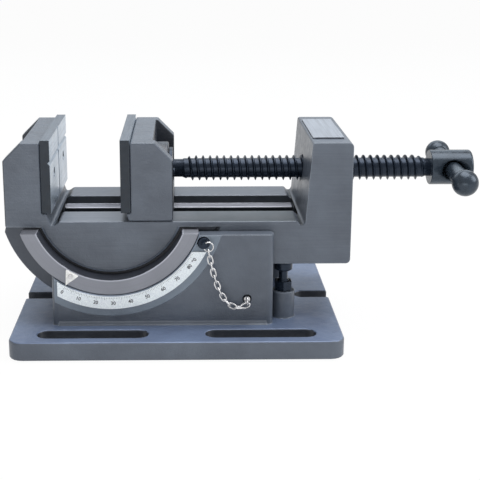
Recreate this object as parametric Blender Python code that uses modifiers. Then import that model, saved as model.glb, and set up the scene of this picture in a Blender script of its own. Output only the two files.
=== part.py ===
"""Tilting milling vise: a slotted base with two cradle walls, a vise body that tilts in them on two
rail rings, a fixed and a movable jaw, a lead screw with a sliding handle bar, an index pin on a chain
and two jack screws under the body.

Metres, +Z up. The origin is the centre of the base's underside, +X points to the handle, and the
cradle wall with the angle scale faces -Y.
"""
from math import acos, asin, asinh, atanh, ceil, cos, cosh, pi, radians, sin, sinh, sqrt

import bmesh
import bpy
from mathutils import Matrix, Vector

# Clearances
SEAT_GAP = 0.0003
RUN_GAP = 0.0004
WALL_GAP = 0.001
CUT_OVER = 0.002
WELD = 0.00001

# Base plate
BASE_LENGTH = 0.222
BASE_WIDTH = 0.185
BASE_THICK = 0.013
BASE_CORNER_R = 0.0095
BASE_EDGE_R = 0.0014
SLOT_WIDTH = 0.014
SLOT_LENGTH = 0.074
SLOT_MID_X = 0.056
END_SLOT_DEPTH = 0.025

# Rail rings, the arcs that the body tilts on
RAIL_R = 0.063
RAIL_WIDTH = 0.0104
RAIL_END_DROP = 0.0202
DISC_GROOVE = 0.0018
DISC_EDGE_R = 0.0022
FLANGE_RIM = 0.0126
FLANGE_FLOOR_GAP = 0.0091
FLANGE_SINK = 0.003
FLANGE_SIDE_GAP = 0.0008
PIVOT_REACH = 0.0448

# Cradle walls on the base
WALL_THICK = 0.0103
WALL_REACH_LEFT = 0.0398
WALL_REACH_RIGHT = 0.1101
WALL_TOP_DROP = 0.0211
WALL_END_R = 0.004
WALL_FOOT_R = 0.003
SCALE_WIDTH = 0.0086
SCALE_THICK = 0.0008
SCALE_LEFT_REACH = 0.0357
SCALE_RIGHT_DROP = 0.0322
SCALE_RIM = 0.0053
SCALE_BOSS_PROUD = 0.001

# Vise body
BODY_WIDTH = 0.1
BED_BELOW_PIVOT = 0.0148
BED_LIP = 0.0036
BED_LENGTH = 0.1715
BODY_DROP = 0.0303
WAY_WIDTH = 0.028
LEDGE_WIDTH = 0.010
LEDGE_DROP = 0.0064
LEDGE_THICK = 0.0065
CORE_WIDTH = 0.032
CHANNEL_END = 0.0032
NOTCH_DEPTH = 0.0024
NOTCH_FLOOR = 0.0024
NOTCH_UNDERCUT = 0.0008
NOTCH_RIGHT_IN = 0.0012
NOTCH_LEFT_SLOPE = 0.0034
NOTCH_RIGHT_SLOPE = 0.002
JAW_FOOT_RISE = 0.0056
JAW_FOOT_LEDGE = 0.0033
FLANGE_CORNER = 0.0043
HOUSING_LENGTH = 0.0313
HOUSING_HEIGHT = 0.0538
HOUSING_LEAN = 0.0038
HOUSING_EDGE_R = 0.003
HOUSING_LEFT_EDGE_R = 0.0016

# Jaws
JAW_HEIGHT = 0.0541
JAW_FACE_REACH = 0.0394
JAW_OPENING = 0.0466
FIXED_JAW_THICK = 0.0123
FIXED_RIB_DEPTH = 0.0126
MOVING_JAW_THICK = 0.015
MOVING_RIB_DEPTH = 0.0134
JAW_RIB_WIDTH = 0.011
JAW_CHAMFER = 0.012
FIXED_POCKET_FLOOR = 0.004
MOVING_POCKET_FLOOR = 0.008
JAW_LIP = 0.0033
JAW_LIP_FOOT = 0.0015
PLATE_THICK = 0.0068
PLATE_PROUD = 0.002
PLATE_RISE = 0.006
PLATE_GROOVE = 0.0016
PLATE_GROOVE_DROP = 0.0156
PLATE_SCREW_SPREAD = 0.027
PLATE_SCREW_DROP = 0.0245
PLATE_SCREW_R = 0.002
PLATE_SCREW_HEAD_R = 0.0032
PLATE_SCREW_HEAD = 0.0032
PLATE_SCREW_SINK = 0.0004
PLATE_SCREW_LENGTH = 0.0135
PLATE_SCREW_SOCKET_R = 0.0015
PLATE_SCREW_SOCKET = 0.0018

# Guide under the movable jaw
TONGUE_TAIL = 0.0009
KEEPER_THICK = 0.006
KEEPER_SIDE_GAP = 0.0005
KEEPER_BOLT_SPREAD = 0.014
KEEPER_BOLT_R = 0.003
KEEPER_BOLT_HEAD_R = 0.005
KEEPER_BOLT_HEAD = 0.004
KEEPER_BOLT_GRIP = 0.014

# Lead screw, its nut and its thrust plate
SCREW_HEIGHT = 0.0259
SCREW_R = 0.00895
SCREW_NECK_R = 0.0064
SCREW_NECK_END = 0.0075
SCREW_THREAD_LENGTH = 0.1715
SCREW_STUB = 0.0105
SCREW_STUB_NECK = 0.0044
THRUST_BOSS_R = 0.019
THRUST_BOSS_SHORT = 0.0034
THRUST_COLLAR_R = 0.008
THRUST_COLLAR = 0.015
THRUST_PLATE = 0.0028
THRUST_PLATE_R = 0.015
THRUST_SCREW_R = 0.0015
THRUST_SCREW_HEAD_R = 0.0026
THRUST_SCREW_HEAD = 0.0014
THRUST_SCREW_GRIP = 0.005
NUT_R = 0.013
NUT_LIP = 0.0035

# Hub and handle
HUB_R = 0.01245
HUB_LENGTH = 0.0297
HUB_CHAMFER = 0.0008
HUB_END_CHAMFER = 0.0018
HUB_CROSS_IN = 0.0158
BAR_R = 0.006
BAR_PLAY = 0.0006
BAR_MOUTH_R = 0.0101
BAR_MOUTH_DEPTH = 0.0049
BAR_TILT = radians(2.8)
BALL_SPREAD = 0.041
BALL_R = 0.0091
BALL_BITE = 0.0042

# Pointer and blank plate
POINTER_ANGLE = radians(28.5)
POINTER_THICK = 0.0024
POINTER_HALF_WIDTH = 0.0046
POINTER_TIP_GAP = 0.0002
POINTER_BASE_IN = 0.0006
POINTER_SCREW_R = 0.001
POINTER_SCREW_HEAD_R = 0.0017
POINTER_SCREW_HEAD = 0.0008
POINTER_SCREW_IN = 0.0024
POINTER_SCREW_GRIP = 0.004
PLATE_TOP_LENGTH = 0.0213
PLATE_TOP_IN = 0.0045
PLATE_TOP_WIDTH = 0.07
PLATE_TOP_THICK = 0.0008

# Index pin and its holes
INDEX_RISE = 0.0052
INDEX_ANGLE = radians(22.6)
INDEX_HOLE_R = 0.00415
INDEX_HOLE_DEPTH = 0.012
INDEX_STEP = radians(15)
INDEX_HOLES = 7
PIN_R = 0.0038
PIN_NOSE_GAP = 0.0006
PIN_NOSE = 0.0012
PIN_SHOULDER = 0.0026
PIN_STEM_R = 0.0019
PIN_STEM = 0.0062
PIN_EYE_IN = 0.002
RING_R = 0.0032
RING_WIRE_R = 0.0005
RING_HOLE_R = 0.00095
RING_TURN = radians(-18)

# Chain and its anchor
CHAIN_LINK_LENGTH = 0.0074
CHAIN_LINK_WIDTH = 0.0044
CHAIN_WIRE_R = 0.00055
CHAIN_PITCH = 0.00465
CHAIN_HOOK = 0.0015
CHAIN_SLACK_SHARE = 1.16
ANCHOR_DROP = 0.0662
ANCHOR_REACH = 0.0923
ANCHOR_R = 0.0022
ANCHOR_HOLE_R = 0.003
ANCHOR_DEPTH = 0.007
ANCHOR_EYE_R = 0.0026
ANCHOR_WIRE_R = 0.0007
ANCHOR_NECK = 0.0014

# Jack screws under the body
JACK_X = 0.0736
JACK_Y = 0.043
JACK_BOSS_R = 0.008
JACK_BOSS_TOP = 0.019
JACK_SCREW_R = 0.004
JACK_SCREW_IN = 0.0095
JACK_TRAVEL = 0.006
JACK_NUT_R = 0.0065
JACK_NUT_HEIGHT = 0.0064
JACK_NECK_R = 0.0031
JACK_PAD_R = 0.0063
JACK_PAD_HEIGHT = 0.0058
JACK_PAD_SOCKET = 0.0028
JACK_PAD_CHAMFER = 0.0008

# Facets
ARC_SIDES = 96
DISC_SIDES = 32
BALL_SIDES = 24
PIN_SIDES = 14
HEX_SIDES = 6
CORNER_STEPS = 5
FILLET_STEPS = 4
BALL_STEPS = 8
LINK_STEPS = 4
RING_STEPS = 16
SMOOTH_ANGLE = radians(32)

# Levels and places that follow from the sizes
PIVOT_X = -PIVOT_REACH
DISC_R = RAIL_R - RAIL_WIDTH - DISC_GROOVE
FLANGE_R = RAIL_R + FLANGE_RIM
CRADLE_R = RAIL_R + RUN_GAP
SCALE_R = CRADLE_R + SEAT_GAP
BOSS_R = SCALE_R + SCALE_WIDTH + SCALE_RIM
PIVOT_Z = BASE_THICK + FLANGE_FLOOR_GAP + FLANGE_R
BODY_Y = BODY_WIDTH / 2
WALL_Y = BODY_Y + WALL_GAP
WALL_OUT_Y = WALL_Y + WALL_THICK
SCALE_Y = WALL_OUT_Y + SCALE_BOSS_PROUD
SLOT_MID_Y = (WALL_OUT_Y + BASE_WIDTH / 2) / 2
FLANGE_Y = BODY_Y - FLANGE_SINK
RAIL_OUT_Y = WALL_OUT_Y - SEAT_GAP
WALL_LEFT = PIVOT_X - WALL_REACH_LEFT
WALL_RIGHT = PIVOT_X + WALL_REACH_RIGHT
WALL_TOP = PIVOT_Z - WALL_TOP_DROP
BED_Z = PIVOT_Z - BED_BELOW_PIVOT
LEDGE_Z = BED_Z - LEDGE_DROP
CORE_Z = LEDGE_Z - LEDGE_THICK
BODY_BOTTOM = BED_Z - BODY_DROP
JAW_TOP = BED_Z + JAW_HEIGHT
SCREW_Z = BED_Z + SCREW_HEIGHT
PLATE_TOP = JAW_TOP + PLATE_PROUD
PLATE_BOTTOM = BED_Z + PLATE_RISE
FACE_X = PIVOT_X - JAW_FACE_REACH
FIXED_FRONT = FACE_X - PLATE_THICK
FIXED_SOLID = FIXED_FRONT - FIXED_JAW_THICK
FIXED_BACK = FIXED_SOLID - FIXED_RIB_DEPTH
HOUSING_LEFT = FACE_X + BED_LENGTH
HOUSING_RIGHT = HOUSING_LEFT + HOUSING_LENGTH
HOUSING_TOP_LEFT = HOUSING_LEFT + HOUSING_LEAN
HOUSING_TOP = BED_Z + HOUSING_HEIGHT
NUT_LEFT = HOUSING_TOP_LEFT + NUT_LIP
NOTCH_LEFT = FACE_X - NOTCH_UNDERCUT
NOTCH_RIGHT = HOUSING_LEFT - NOTCH_RIGHT_IN
WAY_LEFT = NOTCH_LEFT + NOTCH_FLOOR + NOTCH_LEFT_SLOPE
WAY_RIGHT = NOTCH_RIGHT - NOTCH_FLOOR - NOTCH_RIGHT_SLOPE
CHANNEL_Y = BODY_Y - WAY_WIDTH
SLOT_Y = CHANNEL_Y - LEDGE_WIDTH
MOVING_FACE = FACE_X + JAW_OPENING
MOVING_FRONT = MOVING_FACE + PLATE_THICK
MOVING_SOLID = MOVING_FRONT + MOVING_JAW_THICK
MOVING_BACK = MOVING_SOLID + MOVING_RIB_DEPTH
RIB_Y = BODY_Y - JAW_RIB_WIDTH
THRUST_FACE = MOVING_BACK - THRUST_BOSS_SHORT
THREAD_START = MOVING_BACK + SCREW_NECK_END
THREAD_END = THREAD_START + SCREW_THREAD_LENGTH
HUB_START = THREAD_END + SCREW_STUB_NECK
BAR_X = HUB_START + HUB_CROSS_IN
INDEX_R = RAIL_R + INDEX_RISE
INDEX_X = PIVOT_X + INDEX_R * cos(INDEX_ANGLE)
INDEX_Z = PIVOT_Z - INDEX_R * sin(INDEX_ANGLE)
ANCHOR_X = PIVOT_X + ANCHOR_REACH
ANCHOR_Z = PIVOT_Z - ANCHOR_DROP
PIN_EYE_Y = -WALL_OUT_Y - PIN_SHOULDER - PIN_STEM + PIN_EYE_IN
JACK_TOP = BASE_THICK + JACK_BOSS_TOP
PAD_TOP = BODY_BOTTOM - SEAT_GAP
PAD_BOTTOM = PAD_TOP - JACK_PAD_HEIGHT

# Axis directions
LEFT = Vector((-1, 0, 0))
RIGHT = Vector((1, 0, 0))
FRONT = Vector((0, -1, 0))
BACK = Vector((0, 1, 0))
UP = Vector((0, 0, 1))
PIVOT = Vector((PIVOT_X, 0, PIVOT_Z))
BAR_WAY = Vector((0, -cos(BAR_TILT), -sin(BAR_TILT)))
BAR_MID = Vector((BAR_X, 0, SCREW_Z))

COLLECTION = "tilting_milling_vise"
TOOL_COLLECTION = "cutters"


def clear_scene():
    for obj in list(bpy.data.objects):
        bpy.data.objects.remove(obj, do_unlink=True)


def collection(name):
    group = bpy.data.collections.new(name)
    bpy.context.scene.collection.children.link(group)
    return group


def material(name, colour, roughness, metallic):
    mat = bpy.data.materials.new(name)
    mat.use_nodes = True
    shader = mat.node_tree.nodes["Principled BSDF"]
    shader.inputs["Base Color"].default_value = (*colour, 1)
    shader.inputs["Roughness"].default_value = roughness
    shader.inputs["Metallic"].default_value = metallic
    mat.diffuse_color = (*colour, 1)
    return mat


def tidy(mesh_builder):
    """Weld loose caps and turn all faces out."""
    bmesh.ops.remove_doubles(mesh_builder, verts=mesh_builder.verts, dist=WELD)
    bmesh.ops.recalc_face_normals(mesh_builder, faces=mesh_builder.faces)


def finish(name, mesh_builder, origin, group):
    """Make an object of the built mesh, with its origin at the given point of the vise."""
    mesh = bpy.data.meshes.new(name)
    bmesh.ops.translate(mesh_builder, verts=mesh_builder.verts, vec=-origin)
    mesh_builder.to_mesh(mesh)
    mesh_builder.free()
    mesh.shade_smooth()
    mesh.set_sharp_from_angle(angle=SMOOTH_ANGLE)
    obj = bpy.data.objects.new(name, mesh)
    obj.location = origin
    bpy.data.collections[group].objects.link(obj)
    return obj


def part(name, mesh_builder, mat, carrier=None, origin=None):
    """A node of the vise, carried by the empty on its joint's axis."""
    place = origin or (carrier.location if carrier else Vector((0, 0, 0)))
    obj = finish(name, mesh_builder, Vector(place), COLLECTION)
    obj.data.materials.append(mat)
    if carrier:
        obj.parent = carrier
        obj.matrix_parent_inverse = carrier.matrix_basis.inverted()
    return obj


def tool(name, mesh_builder):
    """A shape that is joined to a node or cut from it, and isn't a node itself."""
    obj = finish(name, mesh_builder, Vector((0, 0, 0)), TOOL_COLLECTION)
    obj.hide_render = True
    obj.display_type = "WIRE"
    return obj


def combine(target, operation, name, mesh_builder):
    step = target.modifiers.new(name, "BOOLEAN")
    step.operation = operation
    step.solver = "EXACT"
    step.object = tool(name, mesh_builder)


def join(target, name, mesh_builder):
    combine(target, "UNION", name, mesh_builder)


def cut(target, name, mesh_builder):
    combine(target, "DIFFERENCE", name, mesh_builder)


def round_edges(target, width, steps=2):
    step = target.modifiers.new("edges", "BEVEL")
    step.width = width
    step.segments = steps
    step.limit_method = "ANGLE"
    step.angle_limit = radians(60)


def box(low, high):
    """A block between two corners."""
    low, high = Vector(low), Vector(high)
    builder = bmesh.new()
    bmesh.ops.create_cube(builder, size=1)
    bmesh.ops.scale(builder, verts=builder.verts, vec=high - low)
    bmesh.ops.translate(builder, verts=builder.verts, vec=(low + high) / 2)
    return builder


def turn_to(way):
    """The turn that takes +Z to the given direction."""
    return UP.rotation_difference(Vector(way)).to_matrix().to_4x4()


def rod(start, end, radius, end_radius=None, sides=DISC_SIDES):
    """A cylinder, or a cone, from one point to another."""
    start, end = Vector(start), Vector(end)
    builder = bmesh.new()
    bmesh.ops.create_cone(
        builder,
        cap_ends=True,
        segments=sides,
        radius1=radius,
        radius2=radius if end_radius is None else end_radius,
        depth=(end - start).length,
    )
    place = Matrix.Translation((start + end) / 2) @ turn_to(end - start)
    bmesh.ops.transform(builder, matrix=place, verts=builder.verts)
    return builder


def evaluated(obj):
    """The object's evaluated mesh, in a builder, with the object itself removed."""
    bpy.context.scene.collection.objects.link(obj)
    bpy.context.view_layer.update()
    graph = bpy.context.evaluated_depsgraph_get()
    mesh = bpy.data.meshes.new_from_object(obj.evaluated_get(graph))
    builder = bmesh.new()
    builder.from_mesh(mesh)
    bpy.data.objects.remove(obj, do_unlink=True)
    bpy.data.meshes.remove(mesh)
    tidy(builder)
    return builder


def turned(profile, start, way, sides=DISC_SIDES):
    """A solid of revolution. The profile lists (radius, height), from its low end to its high end."""
    mesh = bpy.data.meshes.new("profile")
    points = [(radius, 0, height) for radius, height in reversed(profile)]
    mesh.from_pydata(points, [(i, i + 1) for i in range(len(points) - 1)], [])
    obj = bpy.data.objects.new("profile", mesh)
    screw = obj.modifiers.new("turn", "SCREW")
    screw.axis = "Z"
    screw.steps = sides
    screw.render_steps = sides
    screw.use_merge_vertices = True
    screw.merge_threshold = WELD
    builder = evaluated(obj)
    place = Matrix.Translation(Vector(start)) @ turn_to(way)
    bmesh.ops.transform(builder, matrix=place, verts=builder.verts)
    return builder


def slab(outline, plane, low, high):
    """A flat outline, extruded from one level to another across its plane."""
    flat = bpy.data.curves.new("outline", "CURVE")
    flat.dimensions = "2D"
    flat.fill_mode = "BOTH"
    flat.extrude = abs(high - low) / 2
    spline = flat.splines.new("POLY")
    spline.points.add(len(outline) - 1)
    for point, (u, v) in zip(spline.points, outline):
        point.co = (u, v, 0, 1)
    spline.use_cyclic_u = True
    builder = evaluated(bpy.data.objects.new("outline", flat))
    middle = (low + high) / 2
    place = {
        "XY": Matrix.Translation((0, 0, middle)),
        "XZ": Matrix.Translation((0, middle, 0)) @ Matrix.Rotation(pi / 2, 4, "X"),
        "YZ": Matrix.Translation((middle, 0, 0))
        @ Matrix.Rotation(pi / 2, 4, "Z")
        @ Matrix.Rotation(pi / 2, 4, "X"),
    }[plane]
    bmesh.ops.transform(builder, matrix=place, verts=builder.verts)
    bmesh.ops.recalc_face_normals(builder, faces=builder.faces)
    bmesh.ops.dissolve_limit(
        builder, angle_limit=radians(0.5), verts=builder.verts, edges=builder.edges
    )
    return builder


def wire(points, radius, closed, resolution=1):
    """A round wire along a list of points."""
    line = bpy.data.curves.new("wire", "CURVE")
    line.dimensions = "3D"
    line.bevel_depth = radius
    line.bevel_resolution = resolution
    line.use_fill_caps = True
    spline = line.splines.new("POLY")
    spline.points.add(len(points) - 1)
    for point, place in zip(spline.points, points):
        point.co = (*place, 1)
    spline.use_cyclic_u = closed
    return evaluated(bpy.data.objects.new("wire", line))


def arc(centre_x, centre_y, radius, start, end, steps):
    """Points along an arc, both ends included."""
    turns = [start + (end - start) * i / steps for i in range(steps + 1)]
    return [(centre_x + radius * cos(t), centre_y + radius * sin(t)) for t in turns]


def rounded(low_u, low_v, high_u, high_v, radius):
    """A rectangle with round corners."""
    corners = (
        (high_u - radius, low_v + radius, -pi / 2),
        (high_u - radius, high_v - radius, 0),
        (low_u + radius, high_v - radius, pi / 2),
        (low_u + radius, low_v + radius, pi),
    )
    return [
        point
        for u, v, start in corners
        for point in arc(u, v, radius, start, start + pi / 2, CORNER_STEPS)
    ]


def stadium(low_u, high_u, middle_v, width):
    """A slot's outline, with round ends inside its length."""
    radius = width / 2
    right = arc(high_u - radius, middle_v, radius, -pi / 2, pi / 2, 2 * CORNER_STEPS)
    left = arc(low_u + radius, middle_v, radius, pi / 2, 3 * pi / 2, 2 * CORNER_STEPS)
    return right + left


def pivot_arc(radius, start, end):
    """An arc about the tilt axis, in the XZ plane, at an even facet size."""
    steps = max(2, ceil(abs(end - start) / (2 * pi) * ARC_SIDES))
    return arc(PIVOT_X, PIVOT_Z, radius, start, end, steps)


def base_casting(paint):
    half_x, half_y = BASE_LENGTH / 2, BASE_WIDTH / 2
    plate = slab(rounded(-half_x, -half_y, half_x, half_y, BASE_CORNER_R), "XY", 0, BASE_THICK)
    base = part("base_casting", plate, paint)
    round_edges(base, BASE_EDGE_R)
    for side in (-1, 1):
        add_wall(base, side)
        for end in (-1, 1):
            add_slot(base, side, end)
        boss_low = (JACK_X, side * JACK_Y, BASE_THICK / 2)
        boss_high = (JACK_X, side * JACK_Y, JACK_TOP)
        join(base, "jack_boss", rod(boss_low, boss_high, JACK_BOSS_R))
        hole_low = (JACK_X, side * JACK_Y, JACK_TOP - JACK_SCREW_IN - JACK_TRAVEL - SEAT_GAP)
        hole_high = (JACK_X, side * JACK_Y, JACK_TOP + CUT_OVER)
        cut(base, "jack_hole", rod(hole_low, hole_high, JACK_SCREW_R + RUN_GAP, sides=PIN_SIDES))
    cradle = WALL_OUT_Y + SCALE_BOSS_PROUD + CUT_OVER
    cut(
        base,
        "cradle",
        rod(PIVOT + FRONT * cradle, PIVOT + BACK * cradle, CRADLE_R, sides=ARC_SIDES),
    )
    for end in (-1, 1):
        inner = end * (half_x - END_SLOT_DEPTH)
        outer = end * (half_x + SLOT_WIDTH)
        outline = stadium(min(inner, outer), max(inner, outer), 0, SLOT_WIDTH)
        cut(base, "end_slot", slab(outline, "XY", -CUT_OVER, BASE_THICK + CUT_OVER))
    front = -SCALE_Y - CUT_OVER
    index_hole = rod((INDEX_X, front, INDEX_Z), (INDEX_X, 0, INDEX_Z), INDEX_HOLE_R, sides=DISC_SIDES)
    cut(base, "index_hole", index_hole)
    anchor_in = -WALL_OUT_Y + ANCHOR_DEPTH + SEAT_GAP
    anchor_hole = rod(
        (ANCHOR_X, front, ANCHOR_Z), (ANCHOR_X, anchor_in, ANCHOR_Z), ANCHOR_HOLE_R, sides=PIN_SIDES
    )
    cut(base, "anchor_hole", anchor_hole)
    return base


def add_wall(base, side):
    """A cradle wall with rounded ends, its foot fillets and the raised rim round the rail."""
    inner, outer = sorted((side * WALL_Y, side * WALL_OUT_Y))
    outline = rounded(WALL_LEFT, inner, WALL_RIGHT, outer, WALL_END_R)
    join(base, "wall", slab(outline, "XY", BASE_THICK / 2, WALL_TOP))
    fillet = [(outer + WALL_FOOT_R, BASE_THICK / 2)]
    fillet += arc(
        outer + WALL_FOOT_R, BASE_THICK + WALL_FOOT_R, WALL_FOOT_R, -pi / 2, -pi, FILLET_STEPS
    )
    fillet += arc(inner - WALL_FOOT_R, BASE_THICK + WALL_FOOT_R, WALL_FOOT_R, 0, -pi / 2, FILLET_STEPS)
    fillet += [(inner - WALL_FOOT_R, BASE_THICK / 2)]
    join(base, "wall_foot", slab(fillet, "YZ", WALL_LEFT + WALL_END_R, WALL_RIGHT - WALL_END_R))
    rim_left = -WALL_REACH_LEFT + WALL_END_R / 2
    rim_start = -acos(rim_left / BOSS_R)
    rim_end = -asin(WALL_TOP_DROP / BOSS_R)
    rim = pivot_arc(BOSS_R, rim_start, rim_end)
    rim += [(PIVOT_X, WALL_TOP), (PIVOT_X + rim_left, PIVOT_Z - CRADLE_R * cos(asin(-rim_left / CRADLE_R)))]
    middle = side * (WALL_Y + WALL_OUT_Y) / 2
    join(base, "rail_rim", slab(rim, "XZ", middle, side * SCALE_Y))


def add_slot(base, side, end):
    """One of the four closed bolt slots beside the walls."""
    middle = end * SLOT_MID_X
    outline = stadium(
        middle - SLOT_LENGTH / 2, middle + SLOT_LENGTH / 2, side * SLOT_MID_Y, SLOT_WIDTH
    )
    cut(base, "bolt_slot", slab(outline, "XY", -CUT_OVER, BASE_THICK + CUT_OVER))


def body_outline():
    """The body's side view: flange arc, underside, housing, bed with its notches and fixed jaw."""
    flange_top = PIVOT_Z - (BED_Z - BED_LIP) + FLANGE_CORNER
    left_end = pi + asin(flange_top / FLANGE_R)
    right_end = 2 * pi - asin((PIVOT_Z - BODY_BOTTOM) / FLANGE_R)
    edge = HOUSING_EDGE_R
    points = pivot_arc(FLANGE_R, left_end, right_end)
    points += arc(HOUSING_RIGHT - edge, BODY_BOTTOM + edge, edge, -pi / 2, 0, CORNER_STEPS)
    points += arc(HOUSING_RIGHT - edge, HOUSING_TOP - edge, edge, 0, pi / 2, CORNER_STEPS)
    edge = HOUSING_LEFT_EDGE_R
    points += arc(HOUSING_TOP_LEFT + edge, HOUSING_TOP - edge, edge, pi / 2, pi, CORNER_STEPS)
    points += [
        (HOUSING_LEFT, BED_Z),
        (NOTCH_RIGHT, BED_Z - NOTCH_DEPTH),
        (NOTCH_RIGHT - NOTCH_FLOOR, BED_Z - NOTCH_DEPTH),
        (WAY_RIGHT, BED_Z),
        (WAY_LEFT, BED_Z),
        (NOTCH_LEFT + NOTCH_FLOOR, BED_Z - NOTCH_DEPTH),
        (NOTCH_LEFT, BED_Z - NOTCH_DEPTH),
        (FIXED_FRONT + JAW_FOOT_LEDGE, BED_Z + JAW_FOOT_RISE),
        (FIXED_FRONT, BED_Z + JAW_FOOT_RISE),
        (FIXED_FRONT, JAW_TOP),
        (FIXED_BACK + JAW_CHAMFER, JAW_TOP),
        (FIXED_BACK, JAW_TOP - JAW_CHAMFER),
        (FIXED_BACK, BED_Z - BED_LIP),
    ]
    return points


def vise_body_casting(paint, carrier):
    body = part("vise_body_casting", slab(body_outline(), "XZ", -BODY_Y, BODY_Y), paint, carrier)
    over_y = BODY_Y + CUT_OVER
    for side in (-1, 1):
        add_flange_recess(body, side)
    cut(
        body,
        "jaw_back_pocket",
        box(
            (FIXED_BACK - CUT_OVER, -RIB_Y, BED_Z + FIXED_POCKET_FLOOR),
            (FIXED_SOLID, RIB_Y, JAW_TOP + CUT_OVER),
        ),
    )
    channel_left = WAY_LEFT - CHANNEL_END
    channel_right = WAY_RIGHT + CHANNEL_END
    cut(
        body,
        "bed_channel",
        box((channel_left, -CHANNEL_Y, LEDGE_Z), (channel_right, CHANNEL_Y, BED_Z + CUT_OVER)),
    )
    cut(
        body,
        "bed_slot",
        box((channel_left, -SLOT_Y, CORE_Z - CUT_OVER), (channel_right, SLOT_Y, LEDGE_Z + CUT_OVER)),
    )
    core_low = PIVOT_Z - FLANGE_R - CUT_OVER
    cut(
        body,
        "core",
        box((channel_left, -CORE_WIDTH / 2, core_low), (channel_right, CORE_WIDTH / 2, CORE_Z)),
    )
    bore_left = (HOUSING_LEFT - CUT_OVER, 0, SCREW_Z)
    bore_right = (HOUSING_RIGHT + CUT_OVER, 0, SCREW_Z)
    cut(body, "screw_bore", rod(bore_left, bore_right, SCREW_R + RUN_GAP))
    nut_seat = (NUT_LEFT - SEAT_GAP, 0, SCREW_Z)
    cut(body, "nut_bore", rod(nut_seat, bore_right, NUT_R + SEAT_GAP))
    for y in (-PLATE_SCREW_SPREAD, PLATE_SCREW_SPREAD):
        cut(body, "plate_screw_hole", plate_screw_hole(FIXED_FRONT, y, LEFT))
    for step in range(INDEX_HOLES):
        turn = -INDEX_ANGLE - step * INDEX_STEP
        place = PIVOT + Vector((cos(turn), 0, sin(turn))) * INDEX_R
        start = place + FRONT * over_y
        end = place + FRONT * (FLANGE_Y - INDEX_HOLE_DEPTH)
        cut(body, "index_hole", rod(start, end, INDEX_HOLE_R, sides=PIN_SIDES))
    return body


def add_flange_recess(body, side):
    """The sunk flange round the disc: a turned ring with a rounded inner lip, below the bed's edge."""
    recess_r = FLANGE_R + FLANGE_SIDE_GAP
    lip = [
        (DISC_R - DISC_EDGE_R + DISC_EDGE_R * sin(t), DISC_EDGE_R * cos(t) - DISC_EDGE_R)
        for t in (pi / 2 * (FILLET_STEPS - i) / FILLET_STEPS for i in range(FILLET_STEPS + 1))
    ]
    profile = [(recess_r, -FLANGE_SINK), (DISC_R, -FLANGE_SINK)]
    profile += lip
    profile += [(DISC_R - DISC_EDGE_R, CUT_OVER), (recess_r, CUT_OVER), (recess_r, -FLANGE_SINK)]
    ring = turned(profile, PIVOT + BACK * side * BODY_Y, BACK * side, ARC_SIDES)
    keep = BED_Z - BED_LIP
    bmesh.ops.bisect_plane(
        ring,
        geom=ring.verts[:] + ring.edges[:] + ring.faces[:],
        plane_co=(PIVOT_X, 0, keep),
        plane_no=UP,
        clear_outer=True,
    )
    rims = [edge for edge in ring.edges if edge.is_boundary]
    bmesh.ops.edgeloop_fill(ring, edges=rims)
    bmesh.ops.recalc_face_normals(ring, faces=ring.faces)
    cut(body, "flange_recess", ring)


def rail_ring(name, side, steel, carrier):
    """A machined half ring, cut level at both ends."""
    inner = RAIL_R - RAIL_WIDTH
    outer_turn = asin(RAIL_END_DROP / RAIL_R)
    inner_turn = asin(RAIL_END_DROP / inner)
    outline = pivot_arc(RAIL_R, -pi + outer_turn, -outer_turn)
    outline += pivot_arc(inner, -inner_turn, -pi + inner_turn)
    low = side * (FLANGE_Y + SEAT_GAP)
    return part(name, slab(outline, "XZ", low, side * RAIL_OUT_Y), steel, carrier)


def plate_screw_hole(front, y, way):
    """The hole for a jaw plate's screw, from the casting's front face inwards."""
    start = Vector((front, y, JAW_TOP - PLATE_SCREW_DROP)) - way * CUT_OVER
    depth = CUT_OVER + PLATE_SCREW_SINK + PLATE_SCREW_LENGTH - PLATE_THICK + SEAT_GAP
    return rod(start, start + way * depth, PLATE_SCREW_R + SEAT_GAP, sides=PIN_SIDES)


def jaw_plate(name, face, way, steel, carrier):
    """A hardened jaw plate with its face at the given X; way points from its face to the casting."""
    back = face + way.x * (PLATE_THICK - SEAT_GAP)
    low = (min(face, back), -BODY_Y, PLATE_BOTTOM)
    high = (max(face, back), BODY_Y, PLATE_TOP)
    plate = part(name, box(low, high), steel, carrier)
    for y in (-PLATE_SCREW_SPREAD, PLATE_SCREW_SPREAD):
        middle = Vector((face, y, JAW_TOP - PLATE_SCREW_DROP))
        hole = rod(
            middle - way * CUT_OVER,
            middle + way * (PLATE_THICK + CUT_OVER),
            PLATE_SCREW_R + SEAT_GAP,
            sides=PIN_SIDES,
        )
        cut(plate, "screw_hole", hole)
        seat = rod(
            middle - way * CUT_OVER,
            middle + way * (PLATE_SCREW_SINK + PLATE_SCREW_HEAD + SEAT_GAP),
            PLATE_SCREW_HEAD_R + SEAT_GAP,
            sides=PIN_SIDES,
        )
        cut(plate, "screw_seat", seat)
    return plate


def add_plate_grooves(plate):
    """The crossed V-grooves that hold round work in the fixed jaw."""
    groove = PLATE_GROOVE
    level = PLATE_TOP - PLATE_GROOVE_DROP
    across = [
        (FACE_X - groove, level),
        (FACE_X + groove, level - 2 * groove),
        (FACE_X + groove, level + 2 * groove),
    ]
    cut(plate, "groove_across", slab(across, "XZ", -BODY_Y - CUT_OVER, BODY_Y + CUT_OVER))
    down = [(FACE_X - groove, 0), (FACE_X + groove, -2 * groove), (FACE_X + groove, 2 * groove)]
    cut(plate, "groove_down", slab(down, "XY", PLATE_BOTTOM - CUT_OVER, PLATE_TOP + CUT_OVER))


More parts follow.
